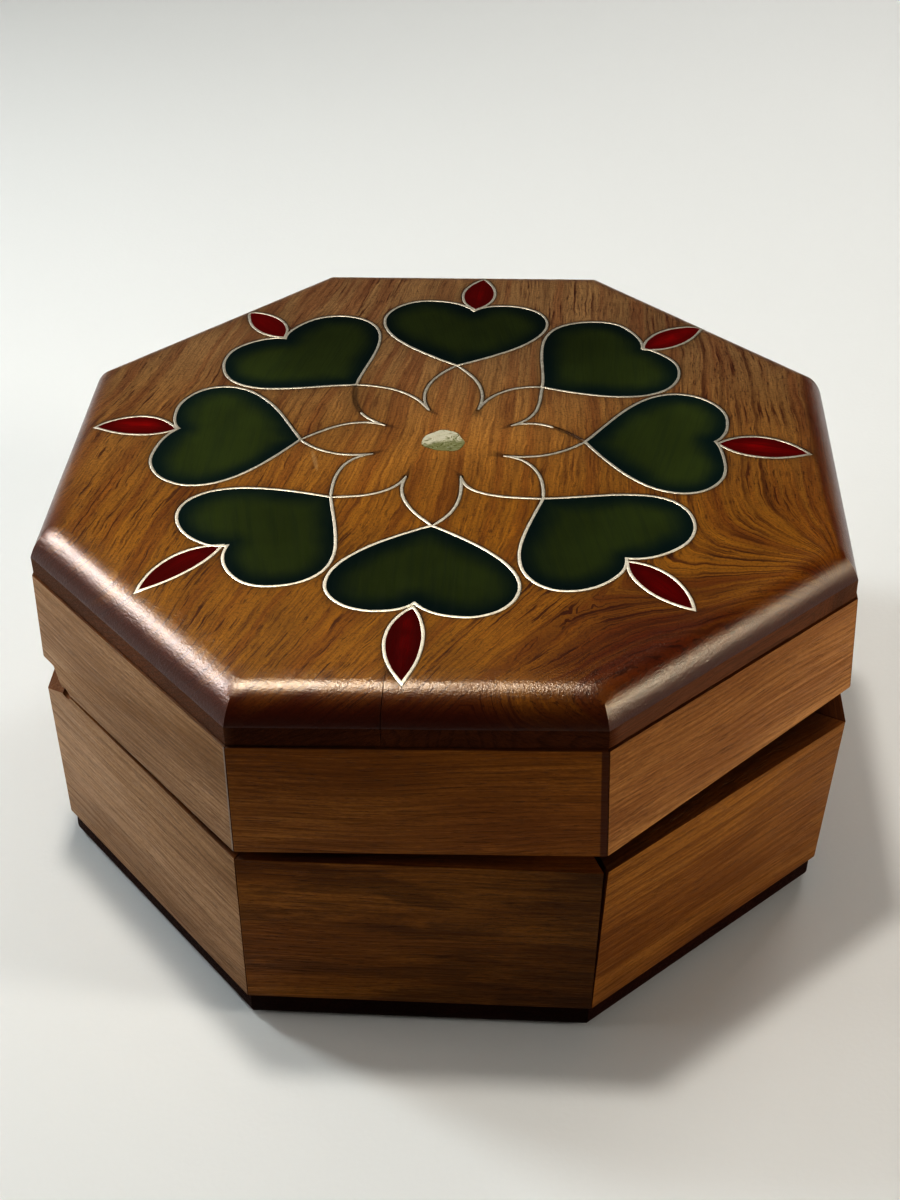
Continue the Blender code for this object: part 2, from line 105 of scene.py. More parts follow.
# Hinge: a pin in interleaved wooden knuckles, inside the left wall.
PIN_RADIUS = 0.75
PIN_LENGTH = 62.0
PIN_EASE = 0.15
PIN_HOLE_RADIUS = 1.05
PIN_HOLE_LENGTH = 100.0
KNUCKLE_RADIUS = 2.2
KNUCKLE_ROOM = 0.3
BASE_KNUCKLES = ((-16.0, 16.0),)
LID_KNUCKLES = ((-27.0, -17.0), (17.0, 27.0))
CUTTER_REACH = 12.0
CUTTER_WIDTH = 200.0
BASE_BEVEL = ((0.0, -0.15), (-5.2, -3.75))
LID_BEVEL = ((0.0, 0.15), (-1.3, 1.3), (-2.35, 4.4), (-5.1, 4.6))
ROUND_SIDES = 48

# Inlay: depths below the top, steps along the curves, and the shape of a heart.
WIRE_DEPTH = 0.7
INLAY_DEPTH = 0.8
POCKET_DEPTH = 1.1
EMPTY_DEPTH = 0.22
# How dark the floor of a groove that has lost its wire is painted, as painted shade in the groove.
EMPTY_STAIN_AND_SHADE = 0.60
POCKET_GAP = 0.07
CURVE_STEPS = 13
LEAF_STEPS = 13
STRAND_STEPS = 14
HEART_BELLY = 18.2
CROWN_SHARE = 0.47
SHARPEST_LEAN = 0.4

# Each heart: point, turn, then half width, reach and shoulder angle of its right and
# left lobes as seen from the middle of the lid, and the cleft between them.
HEARTS = {
    "front": ((-1.2, -25.2), 268.0, (17.0, 26.1, 61.0), (17.1, 26.8, 60.0), (23.3, -0.7)),
    "front_right": ((18.8, -15.9), 313.0, (18.5, 26.7, 58.0), (17.5, 27.6, 50.0), (23.7, -1.5)),
    "right": ((26.5, 3.8), 0.4, (17.4, 26.4, 60.0), (18.0, 27.8, 54.0), (25.0, 0.6)),
    "back_right": ((17.9, 24.0), 40.3, (16.4, 27.4, 60.0), (16.7, 28.8, 45.0), (25.8, -1.0)),
    "back": ((0.3, 32.2), 87.2, (17.3, 25.8, 60.0), (17.3, 27.0, 60.0), (23.1, -1.3)),
    "back_left": ((-19.7, 24.0), 133.0, (18.0, 27.5, 50.0), (17.9, 28.4, 50.0), (24.9, -0.4)),
    "left": ((-28.6, 3.2), 175.6, (18.0, 26.6, 58.0), (18.0, 27.4, 61.0), (24.5, -1.5)),
    "front_left": ((-20.6, -16.5), 227.5, (18.3, 26.4, 62.0), (16.6, 28.6, 51.0), (23.3, -1.7)),
}

# Each leaf: inner point, outer point, and how far its right and left sides bow out.
LEAVES = {
    "front": ((-2.9, -49.6), (-3.3, -70.1), 4.0, 2.5),
    "front_right": ((34.0, -35.2), (45.2, -49.0), 2.8, 3.2),
    "right": ((52.0, 3.9), (69.2, 0.7), 3.1, 4.0),
    "back_right": ((38.5, 39.6), (51.0, 49.5), 3.0, 3.5),
    "back": ((3.0, 55.8), (4.3, 69.8), 3.3, 3.6),
    "back_left": ((-36.7, 43.0), (-45.5, 53.8), 3.4, 2.9),
    "left": ((-53.3, 6.3), (-69.6, 6.7), 4.4, 2.4),
    "front_left": ((-38.5, -32.4), (-51.5, -46.7), 3.7, 1.7),
}

# Cusps where the strands of two neighbouring hearts meet, named by the heart on
# their right as seen from the middle, and the direction in which each points.
CUSPS = {
    "front": ((3.2, -8.7), 96.0),
    "front_right": ((11.0, -1.5), 170.0),
    "right": ((12.0, 9.3), 205.0),
    "back_right": ((5.4, 15.0), 255.0),
    "back": ((-4.2, 14.5), 295.0),
    "back_left": ((-12.5, 8.8), 335.0),
    "left": ((-14.0, -1.4), 15.0),
    "front_left": ((-7.1, -9.0), 75.0),
}

# How a strand leaves its heart's point, and how long its curve's two handles are.
STRAND_SPREAD_DEG = 45.0
STRAND_TIP_PULL = 0.36
STRAND_CUSP_PULL = 0.42

# Strands that have lost their wire: heart, side of its point, and the part still filled.
LOST_WIRE = {("back_left", "left"): 0.40, ("right", "left"): 0.52}

# The worn disc: its radius, and waves in its edge as (number, height, phase).
SHELL_CENTRE = (-0.8, 3.4)
SHELL_RADIUS = 3.9
SHELL_WAVES = ((2, 0.22, 0.6), (3, 0.26, 2.1), (7, 0.10, 0.4))
SHELL_POINTS = 56

# A crack runs from beside the front leaf over the edge of the board.
CRACK_LINE = ((-6.0, -64.5), (-6.3, -71.5))
CRACK_WIDTH = 0.10
CRACK_DEPTH = 0.16
CRACK_STAIN = 0.75

# Where the flat of the board's mesh ends and its rounded edge goes on in rings.
SHEET_APOTHEM = 71.5
RING_COLUMNS = 26

# How nets of points are laid, measured and joined.
NET_ROW_SHARE = 0.87
NET_SHIFT = 0.2
NET_SEED = 1
POINTS_AT_ONCE = 400
MERGE_DISTANCE = 1e-4


# ---------------------------------------------------------------- settings

class BoxWoodSettings(PropertyGroup):
    """Colours and finish of the wood."""

    top_light: FloatVectorProperty(
        name="Top, light", description="Paler wood in the middle of the lid",
        default=(0.336, 0.142, 0.012), subtype="COLOR", min=0.0, max=1.0)
    top_dark: FloatVectorProperty(
        name="Top, dark", description="Redder wood towards the edge of the lid",
        default=(0.085, 0.010, 0.001), subtype="COLOR", min=0.0, max=1.0)
    wall_light: FloatVectorProperty(
        name="Walls, light", description="Paler bands of the walls",
        default=(0.300, 0.130, 0.022), subtype="COLOR", min=0.0, max=1.0)
    wall_dark: FloatVectorProperty(
        name="Walls, dark", description="Darker bands of the walls",
        default=(0.130, 0.040, 0.003), subtype="COLOR", min=0.0, max=1.0)
    bottom: FloatVectorProperty(
        name="Bottom board", description="Stained wood of the bottom board",
        default=(0.022, 0.004, 0.001), subtype="COLOR", min=0.0, max=1.0)
    edge_ease: FloatProperty(
        name="Eased edges", description="How far the sharp edges of the boards are taken off",
        default=0.2 * MM, min=0.0, max=0.6 * MM, unit="LENGTH", precision=5)


class BoxInlaySettings(PropertyGroup):
    """Colours and sizes of the inlay."""

    wire_width: FloatProperty(
        name="Wire width", description="Width of the inlaid wires",
        default=0.64 * MM, min=0.4 * MM, max=1.0 * MM, unit="LENGTH", precision=5)
    green: FloatVectorProperty(
        name="Hearts", description="Green of the hearts",
        default=(0.028, 0.038, 0.009), subtype="COLOR", min=0.0, max=1.0)
    red: FloatVectorProperty(
        name="Leaves", description="Red of the leaves",
        default=(0.190, 0.001, 0.001), subtype="COLOR", min=0.0, max=1.0)
    metal: FloatVectorProperty(
        name="Wire", description="Colour of the wire",
        default=(0.72, 0.675, 0.575), subtype="COLOR", min=0.0, max=1.0)
    shell: FloatVectorProperty(
        name="Shell", description="Colour of the disc in the middle",
        default=(0.56, 0.52, 0.38), subtype="COLOR", min=0.0, max=1.0)


class BoxStageSettings(PropertyGroup):
    """Floor and light."""

    floor: FloatVectorProperty(
        name="Floor", description="Colour of the floor",
        default=(0.80, 0.80, 0.78), subtype="COLOR", min=0.0, max=1.0)
    key_power: FloatProperty(
        name="Left light", description="Power of the large light on the left",
        default=1.05, min=0.0, unit="POWER")
    over_power: FloatProperty(
        name="Overhead light", description="Power of the light above and behind",
        default=1.28, min=0.0, unit="POWER")
    low_power: FloatProperty(
        name="Low left light", description="Power of the broad light low on the left",
        default=2.5, min=0.0, unit="POWER")
    back_power: FloatProperty(
        name="Back light", description="Power of the light on the floor behind the box",
        default=0.56, min=0.0, unit="POWER")
    ceiling_power: FloatProperty(
        name="Ceiling light", description="Power of the broad, soft light overhead",
        default=2.5, min=0.0, unit="POWER")
    side_power: FloatProperty(
        name="Right light", description="Power of the small light on the right",
        default=3.5, min=0.0, unit="POWER")
    shine: FloatProperty(
        name="Shine", description="Power of the lamps mirrored in the varnish",
        default=1.1, min=0.0, unit="POWER")
    sky: FloatProperty(
        name="Room light", description="Strength of the light from all round",
        default=0.26, min=0.0)


def wood_settings():
    """Return the wood settings of the scene."""
    return bpy.context.scene.inlaid_box_wood


def inlay_settings():
    """Return the inlay settings of the scene."""
    return bpy.context.scene.inlaid_box_inlay


def half_wire():
    """Return half the width of a wire, in millimetres."""
    return inlay_settings().wire_width / MM / 2


# ---------------------------------------------------------------- the frame's sizes

HINGE_JOINT = frame["joints"][0]
HINGE = Vector(HINGE_JOINT["pos_m"]) / MM


def lid_tilt():
    """Return how far open the lid rests, measured on its top board."""
    board = frame["nodes"]["lid_board"].data
    top = max(board.polygons, key=lambda face: face.area * max(face.normal.z, 0.0))
    return math.atan2(-top.normal.x, top.normal.z)


TILT = lid_tilt()
OPENED = Matrix.Translation(HINGE) @ Matrix.Rotation(-TILT, 4, "Y") @ Matrix.Translation(-HINGE)
CLOSED = OPENED.inverted()


def closed_heights(node):
    """Return the lowest and highest level of a lid piece with the lid shut."""
    levels = [(CLOSED @ (vertex.co / MM)).z for vertex in frame["nodes"][node].data.vertices]
    return min(levels), max(levels)


def base_heights(node):
    """Return the lowest and highest level of a base piece."""
    low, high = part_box(node)
    return low.z / MM, high.z / MM


BOARD_FOOT, BOARD_TOP = closed_heights("lid_board")
LID_RIM, LID_WALL_TOP = closed_heights("lid_wall_front")
BASE_FOOT, BASE_RIM = base_heights("base_wall_front")
_, BOTTOM_TOP = base_heights("bottom_board")
BAND_TOP = BOARD_FOOT + LID_BAND_HEIGHT


# ---------------------------------------------------------------- plan geometry

def polar(angle_deg, length=1.0):
    """Return the plan vector with this direction and length."""
    angle = math.radians(angle_deg)
    return Vector((math.cos(angle), math.sin(angle))) * length


SIDE_NORMALS = [polar(SIDE_STEP_DEG * side + turn) for side, turn in enumerate(SIDE_TURN_DEG)]


def corner(first, second, apothem):
    """Return the plan corner between two neighbouring sides at one apothem."""
    a, b = SIDE_NORMALS[first], SIDE_NORMALS[second]
    cross = a.x * b.y - a.y * b.x
    return Vector(((b.y - a.y) * apothem / cross, (a.x - b.x) * apothem / cross))


def octagon(apothem):
    """Return the eight plan corners, the first between sides 0 and 1."""
    count = len(SIDES)
    return [corner(side, (side + 1) % count, apothem) for side in range(count)]


def reach_of(point):
    """Return the apothem of the octagon that passes through a plan point."""
    return max(point.x * normal.x + point.y * normal.y for normal in SIDE_NORMALS)


def round_drop(apothem):
    """Return how far the rounded edge has fallen at one apothem."""
    inset = LID_BOARD_APOTHEM - apothem
    if inset >= LID_ROUND_WIDTH:
        return 0.0
    cosine = min(1.0, max(0.0, 1.0 - inset / LID_ROUND_WIDTH)) * math.cos(LID_ROUND_STOP)
    return LID_ROUND_HEIGHT * (1.0 - math.sqrt(1.0 - cosine * cosine)) / (1.0 - math.sin(LID_ROUND_STOP))


def wave(point, stretch_x, stretch_y, layer):
    """Return a smooth, uneven number between about -1 and 1 for a plan point."""
    return noise.noise(Vector((point[0] * stretch_x, point[1] * stretch_y, layer)))


def ripple(x, y):
    """Return the slight unevenness of the hand-planed top."""
    return 0.035 * wave((x, y), 0.045, 0.045, 4.0) + 0.012 * wave((x, y), 0.16, 0.16, 9.0)


def top_level(x, y):
    """Return the level of the lid's top at a plan point."""
    return BOARD_TOP - round_drop(reach_of(Vector((x, y)))) + ripple(x, y)


def bezier(a, b, c, d, steps):
    """Return points along a cubic curve, both ends included."""
    points = []
    for step in range(steps + 1):
        t = step / steps
        s = 1.0 - t
        points.append(a * s ** 3 + b * (3 * s * s * t) + c * (3 * s * t * t) + d * t ** 3)
    return points


def heart_side(lobe, cleft, sign):
    """Return one side of a heart from its point to its cleft, along +X.

    The side is widest at its belly and longest at its crown.  The handles of its three
    curves are shares of its half width, and of the drop from the crown to the cleft.
    """
    half, reach, shoulder = lobe
    cleft_x, cleft_y = cleft[0], cleft[1] * sign
    crown = CROWN_SHARE * half
    drop = crown - cleft_y
    flank = bezier(Vector((0, 0)), polar(shoulder, 0.5 * half),
                   Vector((HEART_BELLY - 0.45 * half, half)), Vector((HEART_BELLY, half)), CURVE_STEPS)
    lobe_end = bezier(Vector((HEART_BELLY, half)), Vector((HEART_BELLY + 0.27 * half, half)),
                      Vector((reach, crown + 0.28 * half)), Vector((reach, crown)), CURVE_STEPS - 2)
    dip = bezier(Vector((reach, crown)), Vector((reach, crown - 0.38 * drop)),
                 Vector((cleft_x + 0.75 * (reach - cleft_x), cleft_y + 0.22 * drop)),
                 Vector((cleft_x, cleft_y)), CURVE_STEPS - 4)
    points = flank + lobe_end[1:] + dip[1:]
    return [Vector((point.x, point.y * sign)) for point in points]


def heart_outline(name):
    """Return the closed, anticlockwise outline of one heart on the lid's plan."""
    tip, turn, right, left, cleft = HEARTS[name]
    along, across = polar(turn), polar(turn + 90.0)
    loop = heart_side(right, cleft, -1.0) + heart_side(left, cleft, 1.0)[-2:0:-1]
    return [Vector(tip) + along * point.x + across * point.y for point in loop]


def leaf_outline(name):
    """Return the closed, anticlockwise outline of one pointed leaf."""
    inner, outer, bow_right, bow_left = LEAVES[name]
    inner, outer = Vector(inner), Vector(outer)
    along = outer - inner
    across = Vector((-along.y, along.x)).normalized()
    sides = []
    for bow in (-bow_right, bow_left):
        push = across * (bow * 4.0 / 3.0)
        sides.append(bezier(inner, inner + along * 0.24 + push, inner + along * 0.66 + push, outer, LEAF_STEPS))
    return sides[0] + sides[1][-2:0:-1]


def strand(heart, cusp, side):
    """Return the strand from a heart's point to one of the cusps beside it."""
    tip, turn = Vector(HEARTS[heart][0]), HEARTS[heart][1]
    end, pointing = Vector(CUSPS[cusp][0]), CUSPS[cusp][1]
    spread = STRAND_SPREAD_DEG if side == "left" else -STRAND_SPREAD_DEG
    length = (end - tip).length
    return bezier(tip, tip + polar(turn + 180.0 - spread, length * STRAND_TIP_PULL),
                  end - polar(pointing, length * STRAND_CUSP_PULL), end, STRAND_STEPS)


def heart_pairs():
    """Return each heart with the next one anticlockwise."""
    names = list(HEARTS)
    return list(zip(names, names[1:] + names[:1]))


def shell_outline():
    """Return the closed outline of the worn disc of shell."""
    points = []
    for step in range(SHELL_POINTS):
        angle = 2 * math.pi * step / SHELL_POINTS
        radius = SHELL_RADIUS
        for waves, depth, phase in SHELL_WAVES:
            radius += depth * math.cos(waves * angle + phase)
        points.append(Vector(SHELL_CENTRE) + Vector((math.cos(angle), math.sin(angle))) * radius)
    return points


def mitre_offset(before, point, after):
    """Return the step to the right of a bend that moves both its edges by one."""
    first = (point - before).normalized()
    second = (after - point).normalized()
    normal = Vector((first.y + second.y, -first.x - second.x)).normalized()
    return normal / max(normal.dot(Vector((first.y, -first.x))), SHARPEST_LEAN)


def path_offsets(points, closed):
    """Return the sideways step at each point of a path."""
    count = len(points)
    if closed:
        return [mitre_offset(points[i - 1], points[i], points[(i + 1) % count]) for i in range(count)]
    ahead = [points[0] * 2 - points[1]] + list(points) + [points[-1] * 2 - points[-2]]
    return [mitre_offset(ahead[i - 1], ahead[i], ahead[i + 1]) for i in range(1, count + 1)]


def offset_loop(points, distance):
    """Grow (or, below zero, shrink) an anticlockwise loop."""
    return [point + step * distance for point, step in zip(points, path_offsets(points, True))]


def stroke_loop(points, half_width):
    """Return the closed outline of a stroke with square ends along a path."""
    steps = path_offsets(points, False)
    right = [point + step * half_width for point, step in zip(points, steps)]
    left = [point - step * half_width for point, step in zip(points, steps)]
    return right + left[::-1]


def keep_part(points, share):
    """Keep the first part of a path, by its share of the length."""
    left = share * sum((b - a).length for a, b in zip(points, points[1:]))
    path = [points[0]]
    for a, b in zip(points, points[1:]):
        step = (b - a).length
        if step >= left:
            path.append(a + (b - a) * (left / step))
            break
        path.append(b)
        left -= step
    return path


def wire_paths():
    """Return every groove of the rosette as (path, closed)."""
    paths = [(heart_outline(name), True) for name in HEARTS]
    paths += [(leaf_outline(name), True) for name in LEAVES]
    for name, neighbour in heart_pairs():
        paths.append((strand(name, name, "left"), False))
        paths.append((strand(neighbour, name, "right"), False))
    return paths


def segments_of(paths):
    """Return an array of the straight pieces of some paths."""
    pieces = []
    for points, closed in paths:
        following = points[1:] + points[:1] if closed else points[1:]
        pieces += [(a.x, a.y, b.x, b.y) for a, b in zip(points, following)]
    return np.array(pieces)


def distances(points, segments):
    """Return how far each plan point is from the nearest of the segments."""
    result = np.empty(len(points))
    start, run = segments[:, :2], segments[:, 2:] - segments[:, :2]
    length = np.maximum((run ** 2).sum(1), 1e-12)
    for low in range(0, len(points), POINTS_AT_ONCE):
        part = points[low:low + POINTS_AT_ONCE, None, :] - start[None]
        share = np.clip((part * run[None]).sum(2) / length[None], 0.0, 1.0)
        gap = part - share[..., None] * run[None]
        result[low:low + POINTS_AT_ONCE] = np.sqrt((gap ** 2).sum(2)).min(1)
    return result


def inside(points, loop):
    """Say for each plan point whether it lies inside a closed loop."""
    result = np.zeros(len(points), bool)
    x, y = points[:, 0], points[:, 1]
    for a, b in zip(loop, loop[1:] + loop[:1]):
        if a.y == b.y:
            continue
        crossing = (a.y > y) != (b.y > y)
        result ^= crossing & (x < (b.x - a.x) * (y - a.y) / (b.y - a.y) + a.x)
    return result


def net_points(low, high, step):
    """Return a staggered net of plan points, each shifted a little, the same in each run."""
    noise.seed_set(NET_SEED)
    points = []
    rows = int((high[1] - low[1]) / (step * NET_ROW_SHARE)) + 1
    columns = int((high[0] - low[0]) / step) + 1
    for row in range(rows):
        for column in range(columns):
            x = low[0] + (column + 0.5 * (row % 2)) * step
            y = low[1] + row * step * NET_ROW_SHARE
            shift = noise.noise_vector(Vector((x, y, 3.0))) * NET_SHIFT * step
            points.append((x + shift.x, y + shift.y))
    return np.array(points)


def triangulate(loops, lines, points):
    """Return the plan corners and triangles inside the first loop."""
    corners, edges = [], []
    for loop in loops:
        start = len(corners)
        corners += [point.copy() for point in loop]
        edges += [(start + i, start + (i + 1) % len(loop)) for i in range(len(loop))]
    for line in lines:
        start = len(corners)
        corners += [point.copy() for point in line]
        edges += [(start + i, start + i + 1) for i in range(len(line) - 1)]
    corners += [Vector(point) for point in points]
    found, _, faces, *_ = delaunay_2d_cdt(corners, edges, [], 1, MERGE_DISTANCE)
    return np.array([(point.x, point.y) for point in found]), [list(face) for face in faces]


# ---------------------------------------------------------------- meshes

def loft(rings):
    """Return a closed mesh through rings of equal length, with flat ends."""
    mesh = bmesh.new()
    rows = [[mesh.verts.new(Vector(point)) for point in ring] for ring in rings]
    count = len(rows[0])
    for low, high in zip(rows, rows[1:]):
        for i in range(count):
            j = (i + 1) % count
            mesh.faces.new((low[i], low[j], high[j], high[i]))
    mesh.faces.new(rows[0][::-1])
    mesh.faces.new(rows[-1])
    return mesh


def long_prism(profile, start, end):
    """Return a bar along Y on an (x, z) profile measured from the hinge axis."""
    rings = [[(HINGE.x + x, y, HINGE.z + z) for x, z in profile] for y in (start, end)]
    mesh = loft(rings)
    bmesh.ops.recalc_face_normals(mesh, faces=mesh.faces)
    return mesh


def barrel(radius, start, end):
    """Return a round bar on the hinge axis."""
    profile = [polar(360.0 * (i + 0.5) / ROUND_SIDES, radius) for i in range(ROUND_SIDES)]
    return long_prism([(point.x, point.y) for point in profile], start, end)


def mesh_object(name, mesh):
    """Turn a bmesh into an object at the origin."""
    data = bpy.data.meshes.new(name)
    mesh.to_mesh(data)
    mesh.free()
    obj = bpy.data.objects.new(name, data)
    bpy.context.scene.collection.objects.link(obj)
    return obj


def combine(obj, tool_mesh, operation):
    """Cut, or join on, one shape and apply the result."""
    tool = mesh_object("tool", tool_mesh)
    modifier = obj.modifiers.new("fit", "BOOLEAN")
    modifier.operation = operation
    modifier.solver = "EXACT"
    modifier.object = tool
    depsgraph = bpy.context.evaluated_depsgraph_get()
    depsgraph.update()
    result = bpy.data.meshes.new_from_object(obj.evaluated_get(depsgraph))
    obj.modifiers.clear()
    old = obj.data
    obj.data = result
    bpy.data.meshes.remove(old)
    bpy.data.objects.remove(tool, do_unlink=True)


def vector_field(obj, name, values):
    """Store one vector for each point of a piece."""
    field = obj.data.attributes.new(name, "FLOAT_VECTOR", "POINT")
    field.data.foreach_set("vector", np.array(values, np.float32).ravel())


def grain_field(obj, along, across, depth, start):
    """Store where each point of a piece lies in its own plank, in millimetres."""
    vector_field(obj, "grain", [(vertex.co.dot(along) + start[0], vertex.co.dot(across) + start[1],
                                 vertex.co.dot(depth) + start[2]) for vertex in obj.data.vertices])


def mark_field(obj, name, values):
    """Store one number for each point of a piece."""
    field = obj.data.attributes.new(name, "FLOAT", "POINT")
    field.data.foreach_set("value", np.array(values, np.float32))


def finish_piece(obj, materials, body, node, smooth_deg=35.0, choose=None):
    """Bring a piece to its final place, give it its finish and body, and hide the part it stands for."""
    data = obj.data
    data.materials.clear()
    for material in materials:
        data.materials.append(material)
    if choose:
        for face in data.polygons:
            face.material_index = choose(face)
    if body == "lid":
        data.transform(OPENED)
    data.transform(Matrix.Scale(MM, 4))
    data.validate()
    data.shade_smooth()
    data.set_sharp_from_angle(angle=math.radians(smooth_deg))
    data.update()
    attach(obj, body)
    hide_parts(node)


# ---------------------------------------------------------------- finishes

# Tones that go with the settings' own colours.
# Painted haze of reflection on the back of the lid's top.
TOP_BACK_HAZE = (0.265, 0.158, 0.072)
SCRAPE_TONE = (0.42, 0.26, 0.12)
# Dark tone of the stain and painted shade beside the wires and in the grooves.
STAIN_AND_SHADE_TONE = (0.016, 0.006, 0.002)
BAND_LIGHT = (0.100, 0.030, 0.007)
BAND_DARK = (0.048, 0.012, 0.002)
# Grey of the painted light and sheen on the band's lit sides.
BAND_LIT_GREY = (0.150, 0.110, 0.080)
GREEN_EDGE = (0.004, 0.013, 0.012)
NICK_TONE = (0.12, 0.08, 0.05)
SHELL_LOW = (0.21, 0.21, 0.09)
SHELL_BRIGHT = (0.66, 0.64, 0.54)
SHELL_DARK = (0.16, 0.15, 0.07)
STEEL_DARK = (0.30, 0.28, 0.26)
STEEL_LIGHT = (0.46, 0.44, 0.41)
# Plain cut wood of the inner faces, partly its own colour and partly darkened and reddened as painted shade where
# the base's rim shows in the lid's shadow.
CUT_LIGHT = (0.230, 0.082, 0.014)
CUT_DARK = (0.110, 0.030, 0.004)
CUT_PITH = (40.0, -60.0)
GRAIN_WARP = 10.0

PLAIN_SOCKETS = {"metal": "Metallic", "gloss": "Specular IOR Level",
                 "coat": "Coat Weight", "coat_roughness": "Coat Roughness"}


class Nodes:
    """A node tree with short ways to add and join its nodes."""

    def __init__(self, tree):
        self.tree = tree

    def put(self, socket, value):
        """Join or set one input."""
        if isinstance(value, bpy.types.NodeSocket):
            self.tree.links.new(value, socket)
        elif value is not None:
            opaque = socket.type == "RGBA" and len(value) == 3
            socket.default_value = (*value, 1.0) if opaque else value

    def node(self, kind, values=None, **settings):
        """Add a node, set it up and fill its inputs by place."""
        node = self.tree.nodes.new(kind)
        for key, value in settings.items():
            setattr(node, key, value)
        for place, value in (values or {}).items():
            self.put(node.inputs[place], value)
        return node

    def sum(self, operation, a, b=None, c=None):
        """Return the result of a sum of up to three numbers."""
        return self.node("ShaderNodeMath", {0: a, 1: b, 2: c}, operation=operation).outputs[0]

    def times(self, a, b):
        """Return the product of two numbers."""
        return self.sum("MULTIPLY", a, b)

    def swayed(self, value, noise_value, amount):
        """Return a number moved to and fro by a noise."""
        return self.sum("MULTIPLY_ADD", self.sum("SUBTRACT", noise_value, 0.5), amount, value)

    def vector(self, operation, a, b=None):
        """Return the vector result of a vector sum."""
        node = self.node("ShaderNodeVectorMath", {0: a, 1: b}, operation=operation)
        return node.outputs[1 if operation in ("LENGTH", "DISTANCE") else 0]

    def parts(self, place):
        """Return the three parts of a place."""
        return self.node("ShaderNodeSeparateXYZ", {0: place}).outputs

    def place(self, x, y=0.0, z=0.0):
        """Return the place with these three parts."""
        return self.node("ShaderNodeCombineXYZ", {0: x, 1: y, 2: z}).outputs[0]

    def cloud(self, place, scale=1.0, detail=2.0, roughness=0.5, distortion=0.0):
        """Return the number from a noise texture, drawn out where scale has three parts."""
        if isinstance(scale, tuple):
            place, scale = self.vector("MULTIPLY", place, scale), 1.0
        return self.node("ShaderNodeTexNoise", {
            "Vector": place, "Scale": scale, "Detail": detail,
            "Roughness": roughness, "Distortion": distortion}).outputs["Fac"]

    def spread(self, value, low, high, out_low=0.0, out_high=1.0, smooth=True):
        """Return a number mapped from one range to another."""
        return self.node("ShaderNodeMapRange", {0: value, 1: low, 2: high, 3: out_low, 4: out_high},
                         interpolation_type="SMOOTHSTEP" if smooth else "LINEAR").outputs[0]

    def blend(self, share, a, b):
        """Return a mix of two colours."""
        return self.node("ShaderNodeMix", {0: share, 6: a, 7: b}, data_type="RGBA").outputs[2]

    def layer(self, colour, mask, low, high, amount, tone):
        """Return a colour with a tone laid over it as a mask goes from low to high."""
        return self.blend(self.times(self.spread(mask, low, high), amount), colour, tone)

    def scaled(self, colour, amount):
        """Return a colour made lighter or darker by a number."""
        return self.node("ShaderNodeVectorMath", {0: colour, 3: amount}, operation="SCALE").outputs[0]


class Finish(Nodes):
    """A material, its nodes and its shader."""

    def __init__(self, name):
        self.material = bpy.data.materials.new(name)
        self.material.use_nodes = True
        super().__init__(self.material.node_tree)
        self.shader = self.tree.nodes["Principled BSDF"]

    def field(self, name, output="Fac"):
        """Return a stored field of the mesh."""
        return self.node("ShaderNodeAttribute", attribute_name=name).outputs[output]

    def spot(self):
        """Return the place in the piece's own space, in metres."""
        return self.node("ShaderNodeTexCoord").outputs["Object"]

    def bump(self, height, distance, strength):
        """Return a bumped normal."""
        return self.node("ShaderNodeBump", {
            "Height": height, "Distance": distance, "Strength": strength}).outputs["Normal"]

    def finished(self, colour, roughness, height, distance, strength, **plain):
        """Join up the shader, set its plain values and return the material."""
        inputs = self.shader.inputs
        self.put(inputs["Base Color"], colour)
        self.put(inputs["Roughness"], roughness)
        if height is not None:
            self.put(inputs["Normal"], self.bump(height, distance, strength))
        for key, value in plain.items():
            inputs[PLAIN_SOCKETS[key]].default_value = value
        return self.material


def shade(colour, amount):
    """Return a colour made lighter or darker."""
    return tuple(part * amount for part in colour)


def wood_grain(finish, place, pith, spacing):
    """Return the late wood, the fibres, the pores and the slow figure of a plank.

    pith is where the middle of the tree lies, across and into the plank.
    """
    drift = finish.node("ShaderNodeTexNoise", {
        "Vector": finish.vector("MULTIPLY", place, (0.35, 1.0, 1.0)), "Scale": 0.028, "Detail": 2.5})
    drift = finish.vector("SUBTRACT", drift.outputs["Color"], (0.5, 0.5, 0.5))
    bent = finish.vector("ADD", place, finish.vector("MULTIPLY", drift, (0.0, GRAIN_WARP, GRAIN_WARP)))
    _, across, depth = finish.parts(bent)
    centred = finish.place(0.0, finish.sum("SUBTRACT", across, pith[0]), finish.sum("SUBTRACT", depth, pith[1]))
    turns = finish.sum("ADD", finish.sum("DIVIDE", finish.vector("LENGTH", centred), spacing),
                       finish.times(finish.cloud(bent, (0.01, 0.09, 0.09)), 3.0))
    saw = finish.sum("FRACT", turns)
    late = finish.times(finish.spread(saw, 0.45, 0.93), finish.spread(saw, 1.0, 0.95))
    fibres = finish.cloud(bent, (0.030, 1.9, 1.9), 4.0, 0.60)
    pores = finish.spread(finish.cloud(bent, (0.16, 5.0, 5.0), 2.0, 0.55), 0.60, 0.66)
    slow = finish.cloud(bent, (0.012, 0.06, 0.06), 3.0, 0.55)
    return late, fibres, pores, slow


